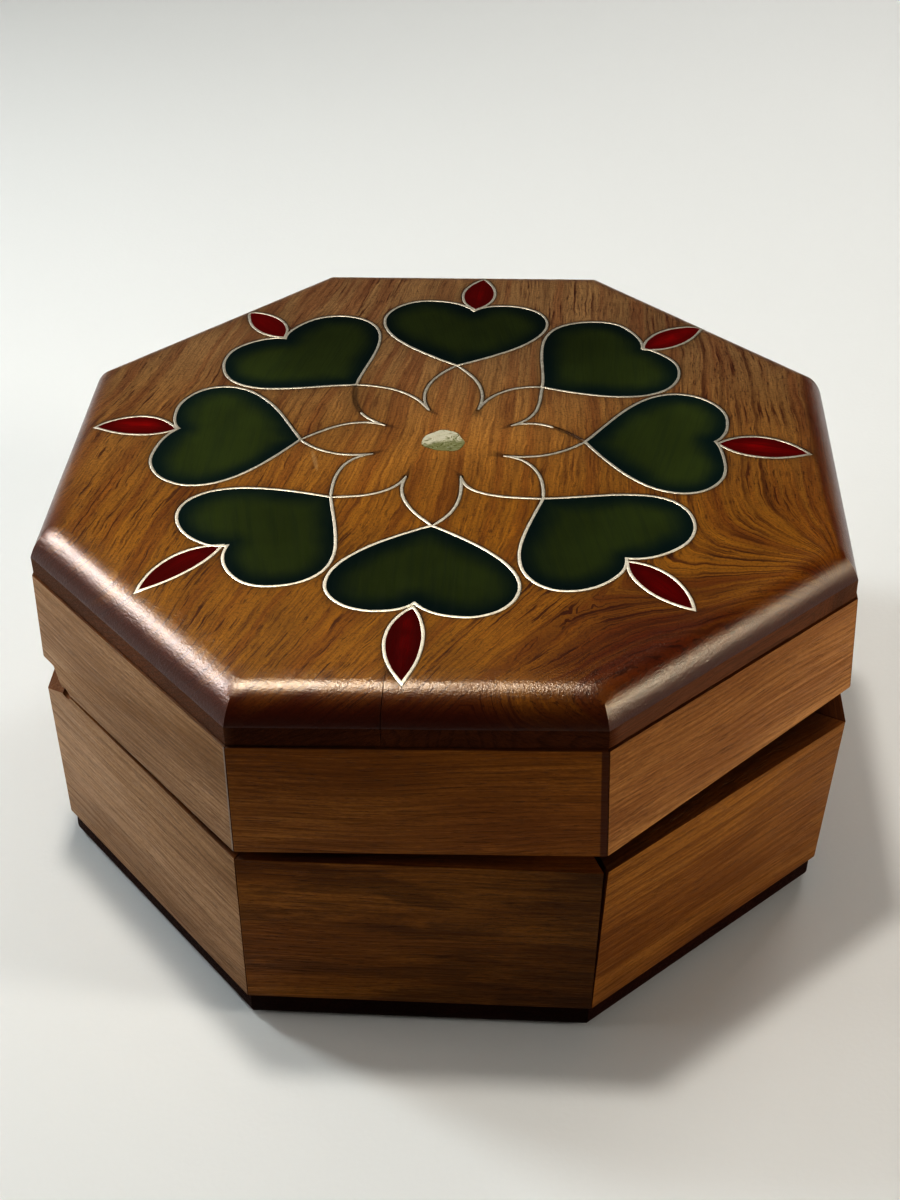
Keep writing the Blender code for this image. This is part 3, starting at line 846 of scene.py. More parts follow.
def wall_finish(name, light, dark, pith, spacing, figure=0.0, end=None, gloss=0.15, fall=None, band=False):
    """Return the wood of the walls: fine straight grain under a thin worn varnish.

    figure is the strength of dark blots, fall the change of tone from the right end to
    the left, end the width and tone of the neighbour's end grain on the right, and band
    says that this is the matt band of the lid, painted lighter and greyer on all sides
    but the front and back, as painted light and sheen.
    """
    finish = Finish(name)
    place = finish.field("grain", "Vector")
    late, fibres, pores, slow = wood_grain(finish, place, pith, spacing)
    colour = finish.blend(finish.spread(slow, 0.36, 0.66, 0.25, 1.0), dark, light)
    colour = finish.blend(finish.times(late, 0.34), colour, shade(dark, 0.70))
    colour = finish.layer(colour, fibres, 0.51, 0.60, 0.38, shade(dark, 0.75))
    colour = finish.layer(colour, fibres, 0.44, 0.34, 0.28, shade(light, 1.3))
    speckle = finish.cloud(place, (0.9, 3.2, 3.2), 2.0, 0.6)
    colour = finish.layer(colour, speckle, 0.40, 0.66, 0.30, shade(dark, 0.80))
    if figure:
        blot = finish.cloud(place, (0.035, 0.16, 0.16), 5.0, 0.66, 0.6)
        colour = finish.layer(colour, blot, 0.46, 0.60, figure, shade(dark, 0.50))
    colour = finish.blend(finish.times(pores, 0.45), colour, shade(dark, 0.40))
    # Painted light and sheen: the band is lighter and greyer on all sides but the front and back.
    if band:
        aside = finish.sum("ABSOLUTE", finish.parts(finish.field("plan", "Vector"))[0])
        toward_pale = finish.blend(0.28, finish.scaled(colour, 1.7), BAND_LIT_GREY)
        colour = finish.blend(finish.spread(aside, 30.5, 33.0), colour, toward_pale)
    if fall:
        colour = finish.scaled(colour, finish.spread(finish.field("end"), 2.0, 60.0, *fall, False))
    if end:
        width, tone = end
        colour = finish.layer(colour, finish.field("end"), width + 0.15, width - 0.15, 0.85, tone)
    streaks = finish.cloud(place, (0.12, 3.6, 3.6), 3.0, 0.6)
    height = finish.sum("SUBTRACT", finish.times(streaks, 0.5), finish.sum("ADD", fibres, pores))
    return finish.finished(colour, finish.spread(fibres, 0.3, 0.7, 0.40, 0.56), height, 0.00012, 0.7, gloss=gloss)


def top_finish():
    """Return the varnished wood of the lid's board: amber, with redder wood at the front right, and a painted haze
    of reflection towards the back.
    """
    settings = wood_settings()
    light, dark = tuple(settings.top_light), tuple(settings.top_dark)
    finish = Finish("lid_top_wood")
    plan, edge = finish.field("plan", "Vector"), finish.field("reach")
    x, y, _ = finish.parts(plan)
    along, across, depth = finish.parts(finish.field("grain", "Vector"))
    across = finish.swayed(across, finish.cloud(plan, (0.10, 0.07, 0.10)), 1.6)
    across = finish.swayed(across, finish.cloud(plan, (0.45, 0.25, 0.30)), 0.7)
    place = finish.place(along, across, depth)
    bands = finish.cloud(place, (0.006, 0.20, 0.0), 2.0, 0.6)
    lines = finish.cloud(place, (0.020, 0.95, 0.0), 3.0, 0.62)
    dashes = finish.cloud(place, (0.085, 1.75, 0.0))
    fibres = finish.cloud(place, (0.10, 2.6, 0.5), 3.0, 0.6)
    flecks = finish.cloud(place, (0.40, 3.6, 2.0), 2.0, 0.55)
    grit = finish.cloud(plan, 2.0, 3.0, 0.65)
    tones = finish.spread(finish.cloud(plan, (0.05, 0.03, 0.05), 3.0, 0.55), 0.36, 0.66)
    fading = finish.spread(finish.cloud(plan, (0.07, 0.05, 0.05)), 0.38, 0.60, 0.25, 1.0)
    outwards = finish.vector("DISTANCE", plan, (0.0, 6.0, 0.0))
    crisp = finish.spread(outwards, 14.0, 42.0, 0.45, 1.20)

    # Growth rings: a thin dark line that ends each ring, strongest where the rings turn.
    uneven = finish.cloud(place, (0.002, 0.11, 0.0), 1.0)
    saw = finish.sum("FRACT", finish.sum("MULTIPLY_ADD", uneven, 3.2, finish.times(across, 0.30)))
    ring = finish.times(finish.spread(saw, 0.60, 0.90), finish.spread(saw, 1.0, 0.93))
    ring = finish.times(finish.times(ring, finish.spread(x, 12.0, 48.0, 0.30, 1.0)), fading)
    stroke = finish.times(finish.times(finish.spread(dashes, 0.58, 0.64), fading), crisp)
    pores = finish.times(finish.spread(flecks, 0.56, 0.63), finish.spread(lines, 0.42, 0.56, 0.30, 1.0))

    # Redder wood at the front right and along the edge, but for a lighter place in between,
    # a painted highlight at the right end of the front edge.
    patch = finish.vector("DISTANCE", finish.vector("MULTIPLY", plan, (0.75, 1.0, 1.0)), (33.0, -64.0, 0.0))
    red = finish.spread(finish.swayed(patch, bands, -40.0), 31.0, 8.0, 0.0, 0.90)
    rim = finish.spread(finish.swayed(edge, bands, -12.0), 68.0, 74.5, 0.0, 0.90)
    highlight_patch = finish.spread(finish.vector("DISTANCE", plan, (23.0, -72.0, -2.0)), 16.0, 5.0, 1.0, 0.45)

    colour = finish.blend(tones, light, shade(light, 0.78))
    # Painted reflection: paler and greyer towards the back, for the haze of the varnish there.
    colour = finish.blend(finish.spread(y, -30.0, 48.0, 0.0, 0.90), colour,
                          finish.blend(tones, TOP_BACK_HAZE, shade(TOP_BACK_HAZE, 0.8)))
    colour = finish.scaled(colour, finish.spread(outwards, 44.0, 6.0, 1.0, 1.28, False))
    colour = finish.layer(colour, bands, 0.48, 0.60, 0.32, shade(dark, 1.5))
    colour = finish.layer(colour, lines, 0.53, 0.64, 0.30, dark)
    colour = finish.blend(finish.sum("MAXIMUM", red, finish.times(rim, highlight_patch)), colour, dark)
    colour = finish.blend(finish.times(ring, 0.66), colour, shade(dark, 0.55))
    colour = finish.blend(finish.times(stroke, 0.72), colour, shade(dark, 0.60))
    colour = finish.layer(colour, fibres, 0.50, 0.60, 0.24, shade(dark, 0.80))
    colour = finish.scaled(colour, finish.spread(fibres, 0.46, 0.36, 1.0, 1.22))
    colour = finish.blend(finish.times(finish.times(pores, crisp), 0.52), colour, shade(dark, 0.30))
    colour = finish.layer(colour, grit, 0.50, 0.64, 0.34, shade(dark, 0.40))

    # A short pale scrape on the left, a darker rim, and the stain and painted shade beside the wires and in the
    # grooves.
    beside = finish.vector("MULTIPLY", finish.vector("ADD", plan, (25.2, 4.0, 0.0)), (8.0, 1.0, 1.0))
    scrape = finish.vector("DISTANCE", beside, finish.place(finish.sum("MULTIPLY_ADD", y, -2.0, -6.4)))
    colour = finish.layer(colour, scrape, 4.4, 2.6, 0.40, SCRAPE_TONE)
    colour = finish.layer(colour, edge, 72.0, 75.0, 0.8, shade(dark, 0.50))
    colour = finish.blend(finish.field("stain"), colour, STAIN_AND_SHADE_TONE)

    film = finish.sum("ADD", finish.times(finish.cloud(plan, 3.0, 2.0, 0.6), 0.5), grit)
    film = finish.times(film, finish.spread(edge, 64.5, 67.0, 1.0, 1.9))
    finish.put(finish.shader.inputs["Coat Normal"], finish.bump(film, 0.00005, 0.8))
    height = finish.sum("SUBTRACT", finish.times(fibres, 0.6), finish.times(pores, 0.5))
    return finish.finished(colour, finish.spread(fibres, 0.3, 0.7, 0.36, 0.48), height, 0.00008, 0.5,
                           gloss=0.05, coat=0.90, coat_roughness=0.29)


def inlay_finish(name, colour, edge_colour, streak, light_streak, far_shade):
    """Return stained, polished veneer that is darker near its wire.

    streak is the strength of its dark fibres, light_streak the tone of its paler wood,
    and far_shade how much lighter or darker it is at the back of the lid, where the paler red is a painted haze of
    reflection.
    """
    finish = Finish(name)
    place = finish.field("grain", "Vector")
    fibres = finish.cloud(place, (0.05, 0.8, 0.8), 4.0, 0.6)
    hairs = finish.cloud(place, (0.14, 3.2, 3.2), 3.0, 0.6)
    slow = finish.cloud(place, 0.09)
    mixed = finish.blend(finish.spread(slow, 0.38, 0.64), colour, light_streak)
    mixed = finish.layer(mixed, fibres, 0.42, 0.68, streak, edge_colour)
    mixed = finish.layer(mixed, hairs, 0.50, 0.72, streak * 0.6, shade(edge_colour, 0.5))
    ragged = finish.swayed(finish.field("depth"), slow, 4.0)
    mixed = finish.blend(finish.spread(ragged, 0.3, 6.0, 1.0, 0.0), mixed, edge_colour)
    x, y, _ = finish.parts(finish.spot())
    # Painted reflection: lighter towards the left and right of the lid, for the haze mirrored there.
    mixed = finish.scaled(mixed, finish.spread(finish.sum("ABSOLUTE", x), 0.020, 0.050, 1.0, 1.30))
    # Lighter or darker towards the back; the paler red there is a painted haze of reflection.
    mixed = finish.scaled(mixed, finish.spread(y, 0.022, 0.045, 1.0, far_shade))
    return finish.finished(mixed, finish.spread(hairs, 0.3, 0.7, 0.30, 0.44), finish.sum("ADD", fibres, hairs),
                           0.00006, 0.5, gloss=0.05, coat=0.35, coat_roughness=0.15)


def wire_finish():
    """Return dull white-metal wire, rubbed bright on top and grey in its hollows, and painted brighter towards the
    front as a painted highlight.
    """
    finish = Finish("worn_wire")
    place = finish.field("grain", "Vector")
    metal = tuple(inlay_settings().metal)
    rub = finish.cloud(place, 0.9, 3.0, 0.6)
    nicks = finish.cloud(place, 4.5)
    colour = finish.layer(metal, rub, 0.42, 0.66, 0.60, shade(metal, 0.5))
    colour = finish.layer(colour, nicks, 0.62, 0.74, 0.6, NICK_TONE)
    # Painted highlight: the wire is brighter at the front of the lid and duller towards the back.
    colour = finish.scaled(colour, finish.spread(finish.parts(place)[1], -42.0, 4.0, 1.0, 0.50))
    return finish.finished(colour, finish.spread(rub, 0.3, 0.7, 0.38, 0.52), finish.sum("ADD", rub, nicks),
                           0.00008, 0.6, metal=0.35)


def shell_finish():
    """Return worn mother-of-pearl: cream with green and dark scratches."""
    finish = Finish("shell")
    place = finish.field("grain", "Vector")
    cloud = finish.cloud(place, 0.55, 3.0, 0.6, 1.5)
    scratch = finish.cloud(place, (0.5, 2.6, 1.0), 3.0, 0.6, 0.6)
    toward_pale = finish.swayed(finish.parts(place)[1], cloud, 7.0)
    colour = finish.blend(finish.spread(toward_pale, 19.5, 21.7), SHELL_LOW, tuple(inlay_settings().shell))
    colour = finish.layer(colour, scratch, 0.55, 0.72, 0.35, SHELL_BRIGHT)
    colour = finish.layer(colour, scratch, 0.42, 0.34, 0.35, SHELL_DARK)
    return finish.finished(colour, finish.spread(cloud, 0.3, 0.7, 0.22, 0.42), finish.sum("ADD", cloud, scratch),
                           0.00012, 0.6, coat=0.4)


def steel_finish():
    """Return the plain steel of the hinge pin."""
    finish = Finish("pin_steel")
    scratch = finish.cloud(finish.spot(), (2500.0, 120.0, 2500.0), 3.0)
    return finish.finished(finish.blend(scratch, STEEL_DARK, STEEL_LIGHT),
                           finish.spread(scratch, 0.3, 0.7, 0.28, 0.48), None, 0.0, 0.0, metal=1.0)


def floor_finish(colour):
    """Return a pale, plain floor with a faint unevenness."""
    finish = Finish("plain_floor")
    cloud = finish.cloud(finish.spot(), 3.0, 3.0)
    fine = finish.cloud(finish.spot(), 900.0)
    return finish.finished(finish.blend(cloud, shade(colour, 0.97), colour),
                           finish.spread(cloud, 0.3, 0.7, 0.82, 0.9), fine, 0.0001, 0.25, gloss=0.2)


# ---------------------------------------------------------------- walls

# Tone of each side's wood and how far it is greyed, partly its own and partly painted light (the shaded front
# darker and deeper, the lit sides paler and greyer as painted sheen), and its change of tone from right to left.
SHEEN_GREY_LIGHT = (0.300, 0.190, 0.110)
SHEEN_GREY_DARK = (0.150, 0.080, 0.035)
BASE_TONES = {"front": (0.86, -0.06), "front_right": (1.10, 0.0), "front_left": (1.40, 0.9), "right": (0.9, 0.2)}
LID_TONES = {"front": (1.24, -0.05), "front_right": (1.60, 0.30), "front_left": (1.50, 0.9), "right": (1.0, 0.3)}
OTHER_TONE = (1.0, 0.5)
BASE_FALL = {"front": (0.62, 1.45)}
LID_FALL = {"front": (0.92, 1.06)}
FRONT_FIGURE = 0.50

# Width and tone of the neighbour's end grain that shows beside a mitre.
END_GRAIN = {"front": (1.3, (0.055, 0.012, 0.004)), "front_left": (0.5, (0.30, 0.24, 0.20))}

# How far apart the walls lie in the tree they are cut from, and its middle.
PLANK_STEP = 400.0
LID_PLANKS = 3600.0
PITH_STEP = 280.0
BASE_PITH = (-40.0, -70.0)
LID_PITH = (90.0, -45.0)
OUTER_FACE = 0.6


def rim_rise(x):
    """Return how far the lid's lower rim has risen at this distance from the hinge."""
    return RELIEF_RISE * max(0.0, (x - RELIEF_START_X) / (RELIEF_END_X - RELIEF_START_X))


def wall_board(side, levels, mitre_gaps, rises):
    """Return one mitred wall board.

    levels holds (height, apothem) at the board's foot and head, mitre_gaps the
    clearance at its two ends for each level, and rises says that its foot climbs.
    """
    before, after = (side - 1) % len(SIDES), (side + 1) % len(SIDES)
    normal = SIDE_NORMALS[side]
    along = Vector((-normal.y, normal.x))
    slant = math.cos(math.radians(SIDE_STEP_DEG / 2))
    rings = []
    for level, (height, apothem) in enumerate(levels):
        ring = []
        for depth, end in ((0.0, 0), (0.0, 1), (WALL_THICKNESS, 1), (WALL_THICKNESS, 0)):
            pair, inwards = (((before, side), along), ((side, after), -along))[end]
            point = corner(*pair, apothem - depth) + inwards * (mitre_gaps[level][end] / slant)
            lift = rim_rise(point.x) if rises and level == 0 else 0.0
            ring.append((point.x, point.y, height + lift))
        rings.append(ring)
    mesh = loft(rings)
    bmesh.ops.bevel(mesh, geom=list(mesh.edges), offset=wood_settings().edge_ease / MM, segments=2,
                    profile=0.5, affect="EDGES", clamp_overlap=True)
    return mesh


def bevel_cutter(bevel, away):
    """Return the wedge taken off along the hinge side, open towards away."""
    (x0, z0), (x1, z1) = bevel[-2], bevel[-1]
    slope = (z1 - z0) / (x1 - x0)
    far = -CUTTER_REACH
    profile = list(bevel[:-1]) + [(far, z0 + slope * (far - x0)), (far, away), (0.0, away)]
    return long_prism(profile, -CUTTER_WIDTH / 2, CUTTER_WIDTH / 2)


def cut_hinge(obj, side, is_lid):
    """Cut the V, the knuckles and the pin hole into a board beside the hinge."""
    combine(obj, bevel_cutter(LID_BEVEL, -1.0) if is_lid else bevel_cutter(BASE_BEVEL, 1.0), "DIFFERENCE")
    if side == "left":
        own, other = (LID_KNUCKLES, BASE_KNUCKLES) if is_lid else (BASE_KNUCKLES, LID_KNUCKLES)
        room = KNUCKLE_RADIUS + KNUCKLE_ROOM
        low, high = (-1.0, room) if is_lid else (-room, 1.0)
        slab = ((0.0, low), (CUTTER_REACH, low), (CUTTER_REACH, high), (0.0, high))
        for start, end in other:
            ends = (start - KNUCKLE_ROOM, end + KNUCKLE_ROOM)
            combine(obj, barrel(room, *ends), "DIFFERENCE")
            combine(obj, long_prism(slab, *ends), "DIFFERENCE")
        for start, end in own:
            combine(obj, barrel(KNUCKLE_RADIUS, start, end), "UNION")
    combine(obj, barrel(PIN_HOLE_RADIUS, -PIN_HOLE_LENGTH / 2, PIN_HOLE_LENGTH / 2), "DIFFERENCE")


def make_wall(body, side, levels, gaps, finishes):
    """Build one wall of the base or the lid."""
    name, is_lid = SIDES[side], body == "lid"
    node = body + "_wall_" + name
    obj = mesh_object(node + "_look", wall_board(side, levels, gaps, is_lid))
    if name in HINGED_SIDES:
        cut_hinge(obj, name, is_lid)
    normal = SIDE_NORMALS[side].to_3d()
    along = Vector((-normal.y, normal.x, 0.0))
    plank = PLANK_STEP * side + (LID_PLANKS if is_lid else 0.0)
    grain_field(obj, along, UP, normal, (plank, 0.7 * plank, 0.0))
    end = corner(side, (side + 1) % len(SIDES), 1.0).to_3d().dot(along)
    mark_field(obj, "end", [end * vertex.co.dot(normal) - vertex.co.dot(along) for vertex in obj.data.vertices])

    def choose(face):
        """Pick the outer face, or the plain cut wood of the other faces."""
        return 0 if face.normal.dot(normal) > OUTER_FACE else 1

    finish_piece(obj, finishes, body, node, choose=choose)


def board_tones_and_light(tones, name):
    """Return one board's light and dark wood, scaled and greyed: partly its own tone, partly painted shade on the
    front and painted sheen on the lit sides.
    """
    settings = wood_settings()
    tone, greying = tones.get(name, OTHER_TONE)

    def greyed(colour, grey):
        """Return one colour of the board."""
        return tuple(tone * (part + greying * (aim - part)) for part, aim in zip(colour, grey))

    return greyed(settings.wall_light, SHEEN_GREY_LIGHT), greyed(settings.wall_dark, SHEEN_GREY_DARK)


def build_base_walls():
    """Build the eight mitred walls of the base, one of whose joints gapes at the top."""
    inner = wall_finish("base_inner_wood", CUT_LIGHT, CUT_DARK, CUT_PITH, spacing=2.2)
    levels = ((BASE_FOOT - FOOT_OVERLAP, BASE_FOOT_APOTHEM), (BASE_RIM, BASE_RIM_APOTHEM))
    for side, name in enumerate(SIDES):
        head = [OPEN_MITRE_GAP / 2 if name == opened else MITRE_GAP / 2 for opened in reversed(OPEN_MITRE)]
        pith = (PITH_STEP * side + BASE_PITH[0], BASE_PITH[1])
        outer = wall_finish("base_wood_" + name, *board_tones_and_light(BASE_TONES, name), pith, spacing=1.5,
                            figure=FRONT_FIGURE if name == "front" else 0.0, fall=BASE_FALL.get(name))
        make_wall("base", side, levels, ((MITRE_GAP / 2, MITRE_GAP / 2), head), (outer, inner))


def build_lid_walls():
    """Build the eight mitred walls of the lid."""
    inner = wall_finish("lid_inner_wood", CUT_LIGHT, CUT_DARK, CUT_PITH, spacing=2.2)
    levels = ((LID_RIM, LID_RIM_APOTHEM), (LID_WALL_TOP + HEAD_OVERLAP, LID_WALL_TOP_APOTHEM))
    for side, name in enumerate(SIDES):
        pith = (PITH_STEP * side + LID_PITH[0], LID_PITH[1])
        outer = wall_finish("lid_wood_" + name, *board_tones_and_light(LID_TONES, name), pith, spacing=1.1,
                            end=END_GRAIN.get(name), fall=LID_FALL.get(name))
        make_wall("lid", side, levels, ((MITRE_GAP / 2, MITRE_GAP / 2),) * 2, (outer, inner))


# ---------------------------------------------------------------- bottom and pin

def build_bottom():
    """Build the dark bottom board with its softened lower edge."""
    profile = []
    for step in range(BOTTOM_ROUND_STEPS + 1):
        angle = math.radians(90.0 * step / BOTTOM_ROUND_STEPS)
        profile.append((BOTTOM_APOTHEM - BOTTOM_ROUND * (1.0 - math.sin(angle)),
                        BOTTOM_ROUND * (1.0 - math.cos(angle))))
    profile += [(BOTTOM_APOTHEM, BOTTOM_TOP - BOTTOM_EASE), (BOTTOM_APOTHEM - BOTTOM_EASE, BOTTOM_TOP)]
    rings = [[(point.x, point.y, level) for point in octagon(apothem)] for apothem, level in profile]
    obj = mesh_object("bottom_board_look", loft(rings))
    grain_field(obj, BACK, RIGHT, UP, (0, 0, 0))
    tone = tuple(wood_settings().bottom)
    material = wall_finish("bottom_wood", shade(tone, 1.5), shade(tone, 0.7), pith=(15.0, -40.0), spacing=2.5,
                           gloss=0.05)
    finish_piece(obj, (material,), "base", "bottom_board")


def build_pin():
    """Build the steel pin of the hinge."""
    mesh = barrel(PIN_RADIUS, -PIN_LENGTH / 2, PIN_LENGTH / 2)
    ends = [edge for edge in mesh.edges if abs(edge.verts[0].co.y - edge.verts[1].co.y) < 1e-6]
    bmesh.ops.bevel(mesh, geom=ends, offset=PIN_EASE, segments=2, profile=0.5, affect="EDGES")
    obj = mesh_object("hinge_pin_look", mesh)
    finish_piece(obj, (steel_finish(),), "base", "hinge_pin")


# ---------------------------------------------------------------- lid board

# Growth rings of the lid's board: where they run straight from front to back, from where
# they lean, the corner and angle at which they fan out, and how wide the two fans are.
RINGS_X = 34.0
LEAN_FROM_Y = -22.0
FAN_CORNER = (72.5, -35.5)
FAN_START = 0.30
FRONT_FAN = 23.0
SIDE_FAN = 41.0

# The net of points of the board: round the wires, over the flat, and towards the rounded edge.
HALO_STEPS = (0.14, 0.45, 1.1, 2.2)
NET_STEP = 2.6
NET_REACH = 74
NET_CLEARANCE = 2.4
EDGE_ROWS = (68.8, 69.3, 69.9, 70.5, 71.0)
MITRE_STEPS = 5
CRACK_STEPS = 6
ROUND_STEPS = 12


def side_columns():
    """Return the plan shares along each side at which the edge rings have points."""
    columns = {side: [i / RING_COLUMNS for i in range(RING_COLUMNS)] for side in range(len(SIDES))}
    front = SIDES.index("front")
    start, end = corner(front - 1, front, SHEET_APOTHEM), corner(front, front + 1, SHEET_APOTHEM)
    middle = (CRACK_LINE[1][0] - start.x) / (end.x - start.x)
    half = CRACK_WIDTH / 2 / (end - start).length
    near = [share for share in columns[front] if abs(share - middle) > 3 * half]
    columns[front] = sorted(near + [middle - half, middle, middle + half])
    return columns, front, middle


def ring_points(apothem, columns):
    """Return one ring of plan points round the board, starting at the right side's start."""
    count = len(SIDES)
    points = []
    for side in range(count):
        start, end = corner((side - 1) % count, side, apothem), corner(side, (side + 1) % count, apothem)
        points += [start.lerp(end, share) for share in columns[side]]
    return points


def board_sheet(segments, columns):
    """Return the plan corners and triangles of the board's top, pockets included."""
    half = half_wire() + POCKET_GAP
    loops = [ring_points(SHEET_APOTHEM, columns)]
    halos = []
    for points, closed in wire_paths():
        grown = offset_loop if closed else stroke_loop
        loops.append(grown(points, half))
        for distance in HALO_STEPS:
            halos += [(point.x, point.y, half + distance) for point in grown(points, half + distance)]
    shell = shell_outline()
    loops.append(offset_loop(shell, POCKET_GAP))
    halos = np.array(halos)
    halos = halos[distances(halos[:, :2], segments) > halos[:, 2] * 0.93][:, :2]
    net = net_points((-NET_REACH, -NET_REACH), (NET_REACH, NET_REACH), NET_STEP)
    net = net[distances(net, segments) > half + NET_CLEARANCE]
    extra = np.array([point for point in np.vstack((halos, net)) if reach_of(Vector(point)) < SHEET_APOTHEM - 0.7])
    extra = extra[~inside(extra, offset_loop(shell, 0.3))]
    rows = np.array([tuple(point) for apothem in EDGE_ROWS for point in ring_points(apothem, columns)])
    rows = rows[distances(rows, segments) > half + 0.3]
    extra = np.vstack((extra, rows))

    crack_start, crack_end = (Vector(point) for point in CRACK_LINE)
    crack = [crack_start.lerp(crack_end, step / CRACK_STEPS) for step in range(CRACK_STEPS + 1)]
    along = np.array([tuple(point) for point in crack])
    extra = extra[np.array([min(np.hypot(*(along - point).T)) > 0.5 for point in extra])]
    lines = [crack]
    for sign in (-1.0, 1.0):
        lines.append([crack[0]] + [point + Vector((sign * CRACK_WIDTH / 2 * (0.2 + 0.8 * i / CRACK_STEPS), 0.0))
                                   for i, point in enumerate(crack) if i])
    for inner, outer in zip(octagon(EDGE_ROWS[0]), octagon(SHEET_APOTHEM)):
        lines.append([inner.lerp(outer, step / MITRE_STEPS) for step in range(MITRE_STEPS + 1)])
    return triangulate(loops, lines, extra)


def empty_grooves():
    """Return the stretches of groove that have lost their wire."""
    paths = []
    for (heart, side), share in LOST_WIRE.items():
        cusp = heart if side == "left" else list(HEARTS)[list(HEARTS).index(heart) - 1]
        paths.append((keep_part(strand(heart, cusp, side), 1.0 - share), False))
    return paths


def in_pockets(points, segments):
    """Say for each plan point whether the board is cut away under it."""
    hollow = distances(points, segments) < half_wire() + POCKET_GAP - 0.002
    for name in HEARTS:
        hollow |= inside(points, heart_outline(name))
    for name in LEAVES:
        hollow |= inside(points, leaf_outline(name))
    return hollow | inside(points, offset_loop(shell_outline(), POCKET_GAP))


def meet(a, b, soft):
    """Return the larger of two numbers, with a rounded change from one to the other."""
    return 0.5 * (a + b + math.sqrt((a - b) ** 2 + soft * soft))


def board_figure(point):
    """Return how far across the growth rings a point of the lid's board lies.

    The rings run front to back and lean to the left at the front. On the right they turn
    and crowd into the corner between the right and the front right edge, and from there
    others fan out along the front right edge.
    """
    ahead = max(0.0, LEAN_FROM_Y - point.y)
    turn = min(1.0, max(0.0, (point.x + 15.0) / 43.0))
    turn = turn * turn * (3.0 - 2.0 * turn)
    aside = RINGS_X - point.x - (0.003 + 0.009 * turn) * ahead * ahead + 0.20 * (1.0 - turn) * point.y
    angle = math.atan2(FAN_CORNER[1] - point.y, FAN_CORNER[0] - point.x) - FAN_START
    if angle < 0.0:
        across = FRONT_FAN * angle
        figure = meet(aside, across, 9.0 * min(1.0, -across / 12.0))
    elif aside > 0.0:
        figure = aside
    else:
        across = SIDE_FAN * angle
        figure = -meet(aside, -across, 5.0 * min(1.0, across / 8.0))
    waves = 2.6 * wave(point, 0.035, 0.020, 1.5) + 1.1 * wave(point, 0.10, 0.05, 6.5)
    return figure + waves + 1.2 * (point.z - BOARD_TOP)


def board_profile():
    """Return (apothem, level) down the rounded edge, the band and the rim of the underside."""
    low_cosine, low_sine = math.cos(LID_ROUND_STOP), math.sin(LID_ROUND_STOP)
    first = math.acos((1.0 - (LID_BOARD_APOTHEM - SHEET_APOTHEM) / LID_ROUND_WIDTH) * low_cosine)
    profile = []
    for step in range(1, ROUND_STEPS + 1):
        angle = first + (LID_ROUND_STOP - first) * step / ROUND_STEPS
        profile.append((LID_BOARD_APOTHEM - LID_ROUND_WIDTH * (1.0 - math.cos(angle) / low_cosine),
                        BAND_TOP + LID_ROUND_HEIGHT * (math.sin(angle) - low_sine) / (1.0 - low_sine)))
    return profile + [(LID_BOARD_APOTHEM + 0.02, BAND_TOP - 0.25), (LID_BOARD_APOTHEM, BOARD_FOOT + 0.2),
                      (LID_BOARD_APOTHEM - 0.2, BOARD_FOOT + 0.02)]


def stain_and_shade_beside(wire, crack, in_crack):
    """Return how dark the wood is at these distances from a wire and from the crack: a thin
    painted shadow close beside a wire, and a wider darkening, partly dirt and partly painted shade.
    """
    wire = max(wire, 0.0)
    stain = 0.80 * math.exp(-wire / 0.16) + 0.22 * math.exp(-wire / 1.1)
    return min(max(stain, CRACK_STAIN if in_crack else 0.35 * math.exp(-crack / 0.10)), 1.0)


